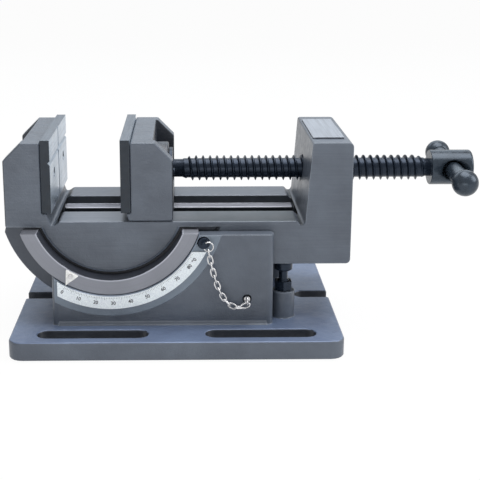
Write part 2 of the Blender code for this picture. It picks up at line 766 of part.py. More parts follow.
def plate_screws(name, face, way, steel, carrier):
    """The two socket head screws that hold a jaw plate."""
    for end_name, y in (("front", -PLATE_SCREW_SPREAD), ("rear", PLATE_SCREW_SPREAD)):
        head = Vector((face, y, JAW_TOP - PLATE_SCREW_DROP)) + way * PLATE_SCREW_SINK
        profile = [
            (0, PLATE_SCREW_SOCKET),
            (PLATE_SCREW_SOCKET_R, PLATE_SCREW_SOCKET),
            (PLATE_SCREW_SOCKET_R, 0),
            (PLATE_SCREW_HEAD_R, 0),
            (PLATE_SCREW_HEAD_R, PLATE_SCREW_HEAD),
            (PLATE_SCREW_R, PLATE_SCREW_HEAD),
            (PLATE_SCREW_R, PLATE_SCREW_LENGTH),
            (0, PLATE_SCREW_LENGTH),
        ]
        part(f"{name}_{end_name}", turned(profile, head, way, PIN_SIDES), steel, carrier)


def movable_jaw_casting(paint, carrier):
    low = BED_Z + SEAT_GAP
    outline = [
        (MOVING_BACK, low),
        (MOVING_BACK, JAW_TOP - JAW_CHAMFER),
        (MOVING_BACK - JAW_CHAMFER, JAW_TOP),
        (MOVING_FRONT, JAW_TOP),
        (MOVING_FRONT, PLATE_BOTTOM - SEAT_GAP),
        (MOVING_FRONT - JAW_LIP, PLATE_BOTTOM - SEAT_GAP),
        (MOVING_FRONT - JAW_LIP_FOOT, low),
    ]
    jaw = part("movable_jaw_casting", slab(outline, "XZ", -BODY_Y, BODY_Y), paint, carrier)
    cut(
        jaw,
        "jaw_back_pocket",
        box(
            (MOVING_SOLID, -RIB_Y, BED_Z + MOVING_POCKET_FLOOR),
            (MOVING_BACK + CUT_OVER, RIB_Y, JAW_TOP + CUT_OVER),
        ),
    )
    boss_in = MOVING_SOLID - CUT_OVER
    join(jaw, "thrust_boss", rod((boss_in, 0, SCREW_Z), (THRUST_FACE, 0, SCREW_Z), THRUST_BOSS_R))
    tongue_y = CHANNEL_Y - RUN_GAP
    tongue_right = MOVING_BACK - TONGUE_TAIL
    tongue_low = (MOVING_FRONT, -tongue_y, LEDGE_Z + RUN_GAP)
    join(jaw, "tongue", box(tongue_low, (tongue_right, tongue_y, low + CUT_OVER)))
    neck_y = SLOT_Y - RUN_GAP
    neck_low = (MOVING_FRONT, -neck_y, CORE_Z + SEAT_GAP)
    join(jaw, "neck", box(neck_low, (tongue_right, neck_y, LEDGE_Z + CUT_OVER)))
    bore_end = THRUST_FACE - THRUST_COLLAR - SEAT_GAP
    bore = rod(
        (bore_end, 0, SCREW_Z), (THRUST_FACE + CUT_OVER, 0, SCREW_Z), THRUST_COLLAR_R + RUN_GAP
    )
    cut(jaw, "thrust_bore", bore)
    for y in (-PLATE_SCREW_SPREAD, PLATE_SCREW_SPREAD):
        cut(jaw, "plate_screw_hole", plate_screw_hole(MOVING_FRONT, y, RIGHT))
    for x in keeper_bolt_places():
        low_point = (x, 0, CORE_Z - CUT_OVER)
        high_point = (x, 0, CORE_Z + KEEPER_BOLT_GRIP + SEAT_GAP)
        hole = rod(low_point, high_point, KEEPER_BOLT_R + SEAT_GAP, sides=PIN_SIDES)
        cut(jaw, "keeper_bolt_hole", hole)
    for y in thrust_screw_places():
        hole_in = (THRUST_FACE - THRUST_SCREW_GRIP - SEAT_GAP, y, SCREW_Z)
        hole_out = (THRUST_FACE + CUT_OVER, y, SCREW_Z)
        hole = rod(hole_in, hole_out, THRUST_SCREW_R + SEAT_GAP, sides=PIN_SIDES)
        cut(jaw, "thrust_screw_hole", hole)
    return jaw


def keeper_bolt_places():
    middle = (MOVING_FRONT + MOVING_BACK - TONGUE_TAIL) / 2
    return (middle - KEEPER_BOLT_SPREAD / 2, middle + KEEPER_BOLT_SPREAD / 2)


def thrust_screw_places():
    spread = (THRUST_PLATE_R + THRUST_COLLAR_R) / 2
    return (-spread, spread)


def keeper_plate(steel, carrier):
    """The plate under the ledges that keeps the jaw down."""
    half = CORE_WIDTH / 2 - KEEPER_SIDE_GAP
    low = (MOVING_FRONT, -half, CORE_Z - RUN_GAP - KEEPER_THICK)
    high = (MOVING_BACK - TONGUE_TAIL, half, CORE_Z - RUN_GAP)
    plate = part("keeper_plate", box(low, high), steel, carrier)
    for x in keeper_bolt_places():
        start = (x, 0, low[2] - CUT_OVER)
        end = (x, 0, CORE_Z + CUT_OVER)
        cut(plate, "bolt_hole", rod(start, end, KEEPER_BOLT_R + SEAT_GAP, sides=PIN_SIDES))
    return plate


def keeper_bolts(steel, carrier):
    """The two bolts that clamp the keeper plate to the jaw's guide, with their heads below."""
    head_top = CORE_Z - RUN_GAP - KEEPER_THICK - SEAT_GAP
    for end_name, x in zip(("left", "right"), keeper_bolt_places()):
        profile = [
            (0, 0),
            (KEEPER_BOLT_HEAD_R, 0),
            (KEEPER_BOLT_HEAD_R, KEEPER_BOLT_HEAD),
            (KEEPER_BOLT_R, KEEPER_BOLT_HEAD),
            (KEEPER_BOLT_R, CORE_Z + KEEPER_BOLT_GRIP - head_top + KEEPER_BOLT_HEAD),
            (0, CORE_Z + KEEPER_BOLT_GRIP - head_top + KEEPER_BOLT_HEAD),
        ]
        bolt = turned(profile, (x, 0, head_top - KEEPER_BOLT_HEAD), UP, PIN_SIDES)
        part(f"keeper_bolt_{end_name}", bolt, steel, carrier)


def thrust_plate(steel, carrier):
    """The plate on the jaw's boss that holds the screw's collar in."""
    start = Vector((THRUST_FACE + SEAT_GAP, 0, SCREW_Z))
    end = start + RIGHT * (THRUST_PLATE - SEAT_GAP)
    plate = part("thrust_plate", rod(start, end, THRUST_PLATE_R), steel, carrier)
    over = RIGHT * CUT_OVER
    cut(plate, "neck_hole", rod(start - over, end + over, SCREW_NECK_R + RUN_GAP))
    for y in thrust_screw_places():
        aside = BACK * y
        hole = rod(
            start - over + aside, end + over + aside, THRUST_SCREW_R + SEAT_GAP, sides=PIN_SIDES
        )
        cut(plate, "screw_hole", hole)
    return plate


def thrust_screws(steel, carrier):
    """The two screws of the thrust plate."""
    seat = THRUST_PLATE + SEAT_GAP
    for end_name, y in zip(("front", "rear"), thrust_screw_places()):
        profile = [
            (0, -THRUST_SCREW_GRIP),
            (THRUST_SCREW_R, -THRUST_SCREW_GRIP),
            (THRUST_SCREW_R, seat),
            (THRUST_SCREW_HEAD_R, seat),
            (THRUST_SCREW_HEAD_R, seat + THRUST_SCREW_HEAD),
            (0, seat + THRUST_SCREW_HEAD),
        ]
        screw = turned(profile, (THRUST_FACE, y, SCREW_Z), RIGHT, PIN_SIDES)
        part(f"thrust_screw_{end_name}", screw, steel, carrier)


def screw_nut(bronze, carrier):
    """The bush with the screw's nut thread, seated behind the housing's lip."""
    start = Vector((NUT_LEFT, 0, SCREW_Z))
    end = Vector((HOUSING_RIGHT, 0, SCREW_Z))
    nut = part("screw_nut", rod(start, end, NUT_R), bronze, carrier)
    over = RIGHT * CUT_OVER
    cut(nut, "nut_thread", rod(start - over, end + over, SCREW_R + RUN_GAP))
    return nut


def lead_screw(steel, carrier):
    """The screw: thrust collar, neck, threaded length and the stub that carries the hub."""
    start = THRUST_FACE - THRUST_COLLAR
    profile = [
        (0, 0),
        (THRUST_COLLAR_R, 0),
        (THRUST_COLLAR_R, THRUST_COLLAR),
        (SCREW_NECK_R, THRUST_COLLAR),
        (SCREW_NECK_R, THREAD_START - start),
        (SCREW_R, THREAD_START - start + SCREW_R - SCREW_NECK_R),
        (SCREW_R, THREAD_END - start),
        (SCREW_NECK_R, THREAD_END - start),
        (SCREW_NECK_R, THREAD_END - start + SCREW_STUB),
        (0, THREAD_END - start + SCREW_STUB),
    ]
    return part("lead_screw", turned(profile, (start, 0, SCREW_Z), RIGHT), steel, carrier)


def screw_hub(steel, carrier):
    stub_in = SCREW_STUB - SCREW_STUB_NECK + SEAT_GAP
    profile = [
        (0, stub_in),
        (SCREW_NECK_R + SEAT_GAP, stub_in),
        (SCREW_NECK_R + SEAT_GAP, 0),
        (HUB_R - HUB_CHAMFER, 0),
        (HUB_R, HUB_CHAMFER),
        (HUB_R, HUB_LENGTH - HUB_END_CHAMFER),
        (HUB_R - HUB_END_CHAMFER, HUB_LENGTH),
        (0, HUB_LENGTH),
    ]
    hub = part("screw_hub", turned(profile, (HUB_START, 0, SCREW_Z), RIGHT), steel, carrier)
    reach = BAR_WAY * (HUB_R + CUT_OVER)
    hole_r = BAR_R + BAR_PLAY
    cut(hub, "bar_hole", rod(BAR_MID - reach, BAR_MID + reach, hole_r))
    widening = (BAR_MOUTH_R - hole_r) / BAR_MOUTH_DEPTH
    for way in (BAR_WAY, -BAR_WAY):
        deep = BAR_MID + way * (HUB_R - BAR_MOUTH_DEPTH - CUT_OVER)
        out = BAR_MID + way * (HUB_R + CUT_OVER)
        over_r = widening * CUT_OVER
        cut(hub, "bar_mouth", rod(deep, out, hole_r - over_r, BAR_MOUTH_R + over_r))
    return hub


def handle(steel, carrier):
    """The sliding bar and the ball on each end."""
    half = BALL_SPREAD - sqrt(BALL_R**2 - BAR_R**2) + BALL_BITE
    part("handle_bar", rod(BAR_MID - BAR_WAY * half, BAR_MID + BAR_WAY * half, BAR_R), steel, carrier)
    bore = BAR_R + SEAT_GAP
    floor = half + SEAT_GAP - BALL_SPREAD
    mouth_turn = asin(bore / BALL_R)
    for name, way in (("handle_ball_front", BAR_WAY), ("handle_ball_rear", -BAR_WAY)):
        profile = [(0, floor), (bore, floor)]
        for i in range(BALL_STEPS + 1):
            turn = mouth_turn + (pi - mouth_turn) * i / BALL_STEPS
            profile.append((BALL_R * sin(turn), -BALL_R * cos(turn)))
        profile[-1] = (0, BALL_R)
        ball = turned(profile, BAR_MID + way * BALL_SPREAD, way, BALL_SIDES)
        part(name, ball, steel, carrier)


def scale_plate(silver):
    """The angle scale on the front wall, cut upright at its left end and level at its right end."""
    outer = SCALE_R + SCALE_WIDTH
    outline = pivot_arc(
        outer, -pi / 2 - asin(SCALE_LEFT_REACH / outer), -asin(SCALE_RIGHT_DROP / outer)
    )
    outline += pivot_arc(
        SCALE_R, -asin(SCALE_RIGHT_DROP / SCALE_R), -pi / 2 - asin(SCALE_LEFT_REACH / SCALE_R)
    )
    low = -SCALE_Y - SEAT_GAP
    return part("scale_plate", slab(outline, "XZ", low, low - SCALE_THICK), silver)


def pointer_place(radius, aside):
    """A point of the pointer, from its radius and its offset across the pointer's line."""
    turn = -pi / 2 - POINTER_ANGLE
    along = Vector((cos(turn), sin(turn)))
    across = Vector((-along.y, along.x))
    return Vector((PIVOT_X, PIVOT_Z)) + along * radius + across * aside


def pointer(steel, carrier):
    """The triangle on the front ring that reads the scale, and its screw."""
    base_r = RAIL_R - RAIL_WIDTH + POINTER_BASE_IN
    corners = (
        (RAIL_R - POINTER_TIP_GAP, 0),
        (base_r, -POINTER_HALF_WIDTH),
        (base_r, POINTER_HALF_WIDTH),
    )
    outline = [tuple(pointer_place(radius, aside)) for radius, aside in corners]
    low = -RAIL_OUT_Y - SEAT_GAP
    plate = part("pointer", slab(outline, "XZ", low, low - POINTER_THICK), steel, carrier)
    hole = pointer_place(base_r + POINTER_SCREW_IN, 0)
    start = Vector((hole.x, low + CUT_OVER, hole.y))
    end = Vector((hole.x, low - POINTER_THICK - CUT_OVER, hole.y))
    cut(plate, "screw_hole", rod(start, end, POINTER_SCREW_R + SEAT_GAP / 2, sides=PIN_SIDES))
    seat = POINTER_THICK + 2 * SEAT_GAP
    profile = [
        (0, -POINTER_SCREW_GRIP),
        (POINTER_SCREW_R, -POINTER_SCREW_GRIP),
        (POINTER_SCREW_R, seat),
        (POINTER_SCREW_HEAD_R, seat),
        (POINTER_SCREW_HEAD_R, seat + POINTER_SCREW_HEAD),
        (0, seat + POINTER_SCREW_HEAD),
    ]
    screw = turned(profile, (hole.x, -RAIL_OUT_Y, hole.y), FRONT, PIN_SIDES)
    part("pointer_screw", screw, steel, carrier)
    return hole


def add_pointer_hole(ring, hole):
    """The tapped hole in the front ring."""
    start = (hole.x, -RAIL_OUT_Y - CUT_OVER, hole.y)
    end = (hole.x, -RAIL_OUT_Y + POINTER_SCREW_GRIP + SEAT_GAP, hole.y)
    cut(ring, "pointer_hole", rod(start, end, POINTER_SCREW_R + SEAT_GAP / 2, sides=PIN_SIDES))


def top_plate(silver, carrier):
    """The blank plate on top of the housing."""
    right = HOUSING_RIGHT - PLATE_TOP_IN
    low = (right - PLATE_TOP_LENGTH, -PLATE_TOP_WIDTH / 2, HOUSING_TOP + SEAT_GAP)
    high = (right, PLATE_TOP_WIDTH / 2, HOUSING_TOP + SEAT_GAP + PLATE_TOP_THICK)
    return part("blank_plate", box(low, high), silver, carrier)


def ring_centre():
    """The split ring hangs beside the pin's stem, with its wire through the stem's cross hole."""
    return Vector((INDEX_X + RING_R * cos(RING_TURN), PIN_EYE_Y, INDEX_Z + RING_R * sin(RING_TURN)))


def index_pin(steel, carrier):
    """The pin, drawn back just clear of the flange, with a stem that carries the split ring."""
    nose_y = -FLANGE_Y - PIN_NOSE_GAP
    length = PIN_SHOULDER + WALL_OUT_Y + nose_y
    profile = [
        (0, 0),
        (PIN_R - PIN_NOSE, 0),
        (PIN_R, PIN_NOSE),
        (PIN_R, length),
        (PIN_STEM_R, length),
        (PIN_STEM_R, length + PIN_STEM),
        (0, length + PIN_STEM),
    ]
    pin = part("index_pin", turned(profile, (INDEX_X, nose_y, INDEX_Z), FRONT), steel, carrier)
    across = Vector((-sin(RING_TURN), 0, cos(RING_TURN))) * (PIN_STEM_R + CUT_OVER / 2)
    sag = RING_R - sqrt(RING_R**2 - PIN_STEM_R**2)
    towards = Vector((cos(RING_TURN), 0, sin(RING_TURN))) * sag / 2
    middle = Vector((INDEX_X, PIN_EYE_Y, INDEX_Z)) + towards
    cut(pin, "ring_hole", rod(middle - across, middle + across, RING_HOLE_R, sides=PIN_SIDES))
    return pin


def pin_ring(zinc, carrier):
    """The split ring that joins the pin to its chain."""
    middle = ring_centre()
    turns = [2 * pi * i / RING_STEPS for i in range(RING_STEPS)]
    points = [middle + Vector((cos(t), 0, sin(t))) * RING_R for t in turns]
    return part("pin_ring", wire(points, RING_WIRE_R, True), zinc, carrier)


def anchor_eye_centre():
    out = WALL_OUT_Y + ANCHOR_NECK + ANCHOR_EYE_R
    return Vector((ANCHOR_X, -out, ANCHOR_Z))


def chain_anchor(zinc):
    """The eye that holds the chain: a plug in the wall and an upright loop of wire."""
    plug_in = Vector((ANCHOR_X, -WALL_OUT_Y + ANCHOR_DEPTH, ANCHOR_Z))
    plug_out = Vector((ANCHOR_X, -WALL_OUT_Y - ANCHOR_NECK, ANCHOR_Z))
    anchor = part("chain_anchor", rod(plug_in, plug_out, ANCHOR_R, sides=PIN_SIDES), zinc)
    eye = anchor_eye_centre()
    turns = [2 * pi * i / RING_STEPS for i in range(RING_STEPS)]
    points = [eye + Vector((0, cos(t), sin(t))) * ANCHOR_EYE_R for t in turns]
    join(anchor, "eye", wire(points, ANCHOR_WIRE_R, True))
    return anchor


def catenary(start, end, length):
    """A hanging curve's point and tangent by length, between two points in a vertical plane."""
    across = Vector((end.x - start.x, end.y - start.y, 0))
    span = across.length
    rise = end.z - start.z
    sag = sqrt(length**2 - rise**2)
    low, high = span / 100, span * 100
    for _ in range(80):
        size = (low + high) / 2
        if 2 * size * sinh(span / (2 * size)) > sag:
            low = size
        else:
            high = size
    lowest = span / 2 - size * atanh(rise / length)
    base = start.z - size * cosh(lowest / size)
    begin = size * sinh(-lowest / size)

    def at(distance):
        reach = lowest + size * asinh((begin + distance) / size)
        place = start + across * (reach / span)
        place.z = base + size * cosh((reach - lowest) / size)
        slope = across.normalized() + UP * sinh((reach - lowest) / size)
        return place, slope.normalized()

    return at


def chain_link_mesh(zinc):
    """One link, lying along X with its loop in the XY plane."""
    bend = (CHAIN_LINK_WIDTH - 2 * CHAIN_WIRE_R) / 2
    straight = CHAIN_LINK_LENGTH / 2 - CHAIN_WIRE_R - bend
    points = [
        Vector((end * (straight + bend * cos(turn)), end * bend * sin(turn), 0))
        for end in (1, -1)
        for turn in (-pi / 2 + pi * i / LINK_STEPS for i in range(LINK_STEPS + 1))
    ]
    builder = wire(points, CHAIN_WIRE_R, True)
    mesh = bpy.data.meshes.new("chain_link")
    builder.to_mesh(mesh)
    builder.free()
    mesh.shade_smooth()
    mesh.materials.append(zinc)
    return mesh


def chain_links(zinc):
    """The chain hangs in a catenary from the split ring to the anchor's eye, each link a quarter turned."""
    ring_bottom = ring_centre() - UP * RING_R
    eye_bottom = anchor_eye_centre() - UP * ANCHOR_EYE_R
    span = (eye_bottom - ring_bottom).length
    count = 2 * ceil((span * CHAIN_SLACK_SHARE - 2 * CHAIN_HOOK) / CHAIN_PITCH / 2)
    length = 2 * CHAIN_HOOK + (count - 1) * CHAIN_PITCH
    at = catenary(ring_bottom, eye_bottom, length)
    mesh = chain_link_mesh(zinc)
    for i in range(count):
        middle, along = at(CHAIN_HOOK + i * CHAIN_PITCH)
        level = along.cross(UP).normalized()
        side = level if i % 2 == 0 else level.cross(along).normalized()
        link = bpy.data.objects.new(f"chain_link_{i + 1:02d}", mesh)
        turn = Matrix((along, side, along.cross(side))).transposed().to_4x4()
        link.matrix_world = Matrix.Translation(middle) @ turn
        bpy.data.collections[COLLECTION].objects.link(link)


def jack(end_name, side, steel, dark, carrier, spin_carrier):
    """A jack screw with its lock nut on the boss and its swivel pad under the body."""
    place = Vector((JACK_X, side * JACK_Y, 0))
    low = JACK_TOP - JACK_SCREW_IN
    pad_floor = PAD_BOTTOM + JACK_PAD_SOCKET
    nut_top = JACK_TOP + SEAT_GAP + JACK_NUT_HEIGHT
    profile = [
        (0, low),
        (JACK_SCREW_R, low),
        (JACK_SCREW_R, nut_top + SEAT_GAP),
        (JACK_NECK_R, nut_top + SEAT_GAP + JACK_SCREW_R - JACK_NECK_R),
        (JACK_NECK_R, pad_floor),
        (0, pad_floor),
    ]
    part(f"jack_screw_{end_name}", turned(profile, place, UP, PIN_SIDES), dark, spin_carrier)
    nut_low = place + UP * (JACK_TOP + SEAT_GAP)
    nut_high = place + UP * nut_top
    nut = part(f"jack_lock_nut_{end_name}", rod(nut_low, nut_high, JACK_NUT_R, sides=HEX_SIDES), dark)
    over = UP * CUT_OVER
    bore = rod(nut_low - over, nut_high + over, JACK_SCREW_R + RUN_GAP, sides=PIN_SIDES)
    cut(nut, "nut_thread", bore)
    edge = JACK_PAD_CHAMFER
    pad = turned(
        [
            (0, pad_floor + SEAT_GAP),
            (JACK_NECK_R + RUN_GAP, pad_floor + SEAT_GAP),
            (JACK_NECK_R + RUN_GAP, PAD_BOTTOM),
            (JACK_PAD_R - edge, PAD_BOTTOM),
            (JACK_PAD_R, PAD_BOTTOM + edge),
            (JACK_PAD_R, PAD_TOP),
            (0, PAD_TOP),
        ],
        place,
        UP,
    )
    part(f"jack_pad_{end_name}", pad, steel, carrier)


def joint_empty(name, place, parent=None):
    """An empty on a joint's axis, which carries the pieces that move on it."""
    empty = bpy.data.objects.new(name, None)
    empty.location = place
    empty.empty_display_size = BALL_R
    bpy.data.collections[TOOL_COLLECTION].objects.link(empty)
    if parent:
        empty.parent = parent
        empty.matrix_parent_inverse = parent.matrix_basis.inverted()
    return empty


def build():
    clear_scene()
    collection(COLLECTION)
    collection(TOOL_COLLECTION)
    paint = material("casting_paint", (0.13, 0.15, 0.17), 0.5, 0.1)
    steel = material("machined_steel", (0.3, 0.3, 0.31), 0.4, 0.8)
    hard = material("jaw_plate_steel", (0.35, 0.4, 0.44), 0.35, 0.8)
    black = material("black_oxide", (0.02, 0.022, 0.025), 0.35, 0.7)
    silver = material("silver_plate", (0.62, 0.65, 0.68), 0.4, 0.6)
    zinc = material("bright_zinc", (0.65, 0.66, 0.67), 0.3, 0.9)
    bronze = material("nut_bronze", (0.45, 0.3, 0.12), 0.4, 0.9)

    tilt = joint_empty("tilt_axis", PIVOT)
    slide = joint_empty("jaw_slide_axis", (MOVING_FACE, 0, BED_Z), tilt)
    spin = joint_empty("screw_axis", (HUB_START, 0, SCREW_Z), slide)
    bar = joint_empty("bar_axis", BAR_MID, spin)
    pull = joint_empty("index_pin_axis", (INDEX_X, -WALL_OUT_Y, INDEX_Z))

    base_casting(paint)
    scale_plate(silver)
    chain_anchor(zinc)
    chain_links(zinc)

    vise_body_casting(paint, tilt)
    front_ring = rail_ring("front_rail_ring", -1, steel, tilt)
    rail_ring("rear_rail_ring", 1, steel, tilt)
    add_pointer_hole(front_ring, pointer(silver, tilt))
    fixed_plate = jaw_plate("fixed_jaw_plate", FACE_X, LEFT, hard, tilt)
    add_plate_grooves(fixed_plate)
    plate_screws("fixed_jaw_screw", FACE_X, LEFT, black, tilt)
    top_plate(silver, tilt)
    screw_nut(bronze, tilt)

    movable_jaw_casting(paint, slide)
    jaw_plate("movable_jaw_plate", MOVING_FACE, RIGHT, hard, slide)
    plate_screws("movable_jaw_screw", MOVING_FACE, RIGHT, black, slide)
    keeper_plate(steel, slide)
    keeper_bolts(black, slide)
    thrust_plate(black, slide)
    thrust_screws(black, slide)

    lead_screw(black, spin)
    screw_hub(black, spin)
    handle(black, bar)
    index_pin(black, pull)
    pin_ring(zinc, pull)
    for end_name, side in (("front", -1), ("rear", 1)):
        lift = joint_empty(f"jack_lift_{end_name}", (JACK_X, side * JACK_Y, PAD_TOP))
        turn = joint_empty(f"jack_spin_{end_name}", (JACK_X, side * JACK_Y, JACK_TOP), lift)
        jack(end_name, side, steel, black, lift, turn)


build()
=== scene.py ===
"""The looks of the tilting milling vise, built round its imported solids.

Metres, in the frame of the solids: +X to the handle, the wall with the angle scale faces -Y, +Z up.
"""
from math import asin, ceil, copysign, cos, pi, radians, sin

import bmesh
import bpy
from mathutils import Matrix, Vector

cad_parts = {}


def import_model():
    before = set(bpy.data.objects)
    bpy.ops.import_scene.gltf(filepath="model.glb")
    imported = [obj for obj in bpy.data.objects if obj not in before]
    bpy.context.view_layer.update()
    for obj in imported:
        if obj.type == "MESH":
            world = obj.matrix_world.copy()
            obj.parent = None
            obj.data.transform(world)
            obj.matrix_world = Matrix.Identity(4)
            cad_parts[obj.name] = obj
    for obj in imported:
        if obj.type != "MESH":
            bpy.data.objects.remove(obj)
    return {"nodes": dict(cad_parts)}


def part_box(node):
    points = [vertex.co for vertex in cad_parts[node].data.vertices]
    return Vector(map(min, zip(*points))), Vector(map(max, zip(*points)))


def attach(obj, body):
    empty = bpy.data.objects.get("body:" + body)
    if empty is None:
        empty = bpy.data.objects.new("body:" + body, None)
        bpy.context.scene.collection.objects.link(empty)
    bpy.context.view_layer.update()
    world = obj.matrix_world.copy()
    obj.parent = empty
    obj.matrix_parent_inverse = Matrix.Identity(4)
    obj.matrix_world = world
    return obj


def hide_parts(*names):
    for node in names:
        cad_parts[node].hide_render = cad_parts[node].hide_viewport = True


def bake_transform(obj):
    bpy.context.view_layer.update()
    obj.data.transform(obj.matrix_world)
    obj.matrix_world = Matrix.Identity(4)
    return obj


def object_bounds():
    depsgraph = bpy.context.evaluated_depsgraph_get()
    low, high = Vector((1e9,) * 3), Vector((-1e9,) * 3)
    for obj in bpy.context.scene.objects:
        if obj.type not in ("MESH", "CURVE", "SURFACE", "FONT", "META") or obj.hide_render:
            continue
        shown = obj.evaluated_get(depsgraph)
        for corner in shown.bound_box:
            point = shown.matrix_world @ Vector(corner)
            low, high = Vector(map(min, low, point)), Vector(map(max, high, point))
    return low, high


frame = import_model()
CAD_LOW, CAD_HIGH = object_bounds()

# Tilt axis, and what lies round it
PIVOT_X = -0.0448
LIP_LOW_R = 0.0484
LIP_HIGH_R = 0.051
GROOVE_R = 0.054
RAIL_R = 0.063
RAIL_WIDTH = 0.0104
RAIL_END_DROP = 0.0202
RAIL_END_PLAY = 0.0005
CRADLE_HIGH_R = 0.0642
FLANGE_Y = 0.047
RIM_Y = 0.0623
# Width of the painted highlight on the rail ring's inner edge
RING_HIGHLIGHT_WIDTH = 0.0012

# Bed, its centre channel, and the pockets behind the jaws
PLATE_ABOVE_BED = 0.006
CHANNEL_Y = 0.022
CHANNEL_LOW_X = -0.083
CHANNEL_HIGH_X = 0.086
LEDGE_DROP = 0.0064
POCKET_Y = 0.0393
POCKET_Z = 0.085
FIXED_POCKET_X = -0.103
MOVING_POCKET_X = -0.0161
OIL_START_X = -0.01
OIL_END_X = 0.015
WAY_FADE_Y = 0.015

# Slots of the base plate
SLOT_Z = 0.0125
PLATE_TOP_REACH = 0.002
SLOT_HALF_WIDTH = 0.0074
BOLT_SLOT_Y = 0.0769
BOLT_SLOT_START_X = 0.017
BOLT_SLOT_END_X = 0.095
END_SLOT_START_X = 0.084
END_SLOT_END_X = 0.1105

# Lead screw, and its thread's profile as shares of the pitch and of the height
SCREW_PITCH = 0.005
SCREW_R = 0.00895
SCREW_ROOT_R = 0.00695
SCREW_NECK_R = 0.0064
SCREW_TAPER = 0.0012
COLLAR_R = 0.008
COLLAR_DEPTH = 0.0028
THREAD_START = 0.0051
THREAD_END = 0.1766
THREAD_SHARES = (
    (0.0, 0.0), (0.3, 0.02), (0.42, 0.75), (0.47, 1.0), (0.56, 1.0), (0.61, 0.75), (0.73, 0.02),
)

# Hub, sliding bar and its balls
HUB_R = 0.01245
HUB_EDGE_R = 0.0007
HUB_END_R = 0.0019
BAR_X = 0.1968
BAR_R = 0.006
BAR_TILT = radians(2.8)
BAR_PLAY = 0.0006
BAR_MOUTH_R = 0.0101
BAR_MOUTH_DEPTH = 0.0049
BALL_R = 0.0091
BALL_SPREAD = 0.041
BALL_PLAY = 0.0003
CUT_OVERRUN = 0.002

# Angle scale and its print
SCALE_R = 0.0637
SCALE_ZERO = radians(-118.5)
SCALE_STEP = radians(1)
SCALE_DEGREES = 90
MIDDLE_TICK_DEGREES = 5
LONG_TICK_DEGREES = 10
LAST_NUMBER_DEGREE = 84.5
TICK_WIDTH = 0.00016
TICK_GAP = 0.00035
TICK_SHORT = 0.0012
TICK_MIDDLE = 0.0018
TICK_LONG = 0.0024
TICK_THICK = 0.00004
NUMBER_HEIGHT = 0.0033
NUMBER_R = 0.0682
NUMBER_BOLD = 0.00009

# Chain and split ring
LINK_LENGTH = 0.0074
LINK_WIDTH = 0.0044
LINK_WIRE_R = 0.00058
LINK_STEPS = 14
LINK_OVAL_SHARE = 0.84
RING_R = 0.0032
RING_WIRE_R = 0.00042
RING_STEPS = 40
RING_TURNS = 2

# Softened edges, and how meshes are cleaned
CAST_EDGE = 0.0011
STEEL_EDGE = 0.00035
THIN_EDGE = STEEL_EDGE / 2
EDGE_SEGMENTS = 3
EDGE_REACH_SHARE = 0.42
EDGE_TURN = radians(34)
SMOOTH_TURN = radians(38)
FLAT_TURN = radians(0.8)
NORMAL_WEIGHT = 100
WELD = 0.00002
FINE_WELD = WELD / 10
FINEST_WELD = WELD / 100

# Rounds
TURN_SIDES = 96
SMALL_SIDES = 48
WIRE_SIDES = 12
CORNER_STEPS = 6

# How near a face is to a level, and how much of its normal points a way
NEAR = 0.0004
LEVEL_SHARE = 0.98
FACING_SHARE = 0.9
SLOPING_SHARE = 0.5
EDGEWAYS_SHARE = 0.1

# Noise: spans of its values that are spread over a result
NOISE_DETAIL = 3.0
NOISE_ROUGH_SHARE = 0.55
LINE_ROUGH_SHARE = 0.6
SOFT_DETAIL = 4
FINE_DETAIL = 2
FULL_SPAN = (0.0, 1.0)
MIDDLE_SPAN = (0.3, 0.7)
GRAIN_SPAN = (0.35, 0.65)
CLOUD_SPAN = (0.35, 0.68)
STREAK_SPAN = (0.35, 0.75)
CHIP_SPAN = (0.3, 0.65)
INK_SPAN = (0.4, 0.7)

# Paint on the castings
PAINT = (0.104, 0.124, 0.157)
PAINT_DARK = (0.08, 0.095, 0.122)
# Pale colour for worn paint, also used as a painted highlight along edges
PAINT_WORN_AND_LIT = (0.3, 0.34, 0.39)
PAINT_ROUGHNESS = 0.4
PAINT_METALLIC = 0.15
PAINT_ROUGH_SPAN = (0.3, 0.42)
PAINT_TINT_SHARES = {
    # Painted shade in the base's slots and the jaws' pockets
    "shade": (0.34, 0.34, 0.36),
    # Painted light on the disc's rounded lip
    "lip": (2.6, 2.6, 2.6),
    # Painted light on the base plate's top: lighter and bluer, a painted sky reflection
    "top": (1.46, 1.62, 2.0),
    "rim": (1.75, 1.8, 1.75),
    # Painted light on the rings' cradle beside the rail
    "cradle": (2.8, 2.8, 2.8),
}
CLOUD_SCALE = 38
SATIN_SCALE = 220
WAVE_SCALE = 90
WAVE_HEIGHT = 0.0006
PEEL_SCALE = 900
PEEL_HEIGHT = 0.00012
STREAK_SCALE = (30, 900, 900)
STREAK_HEIGHT = 0.00006
STREAK_MIX_SPAN = (0.0, 0.07)
CHIP_SCALE = 160
CHIP_MIX_SPAN = (0.15, 0.85)
# Paler edges: worn paint, and a painted highlight along the sharp edges
WEAR_AND_SHEEN_WIDTH = 0.0016
WEAR_AND_SHEEN_SPAN = (0.985, 0.8)
WEAR_AND_SHEEN_SAMPLES = 6

# Painted shade in the flange's recess: darkest in the groove inside the rail
GROOVE_PAINTED_SHADE = (0.02, 0.023, 0.03)
FLANGE_PAINTED_SHADE = (0.06, 0.071, 0.092)
FLANGE_ROUGHNESS = 0.45
FLANGE_METALLIC = 0.1
FLANGE_ROUGH_SPAN = (0.38, 0.5)
FLANGE_HEIGHT = 0.00008

# Milled ways
WAY = (0.18, 0.197, 0.23)
WAY_DARK = (0.145, 0.16, 0.188)
WAY_PALE = (0.2, 0.22, 0.256)
WAY_REAR = (0.105, 0.118, 0.145)
WAY_OILED = (0.098, 0.116, 0.134)
WAY_ROUGHNESS = 0.38
WAY_METALLIC = 0.45
WAY_ROUGH_SPAN = (0.33, 0.45)
WAY_SCALE = (15, 800, 800)
WAY_REAR_SHARE = 0.7

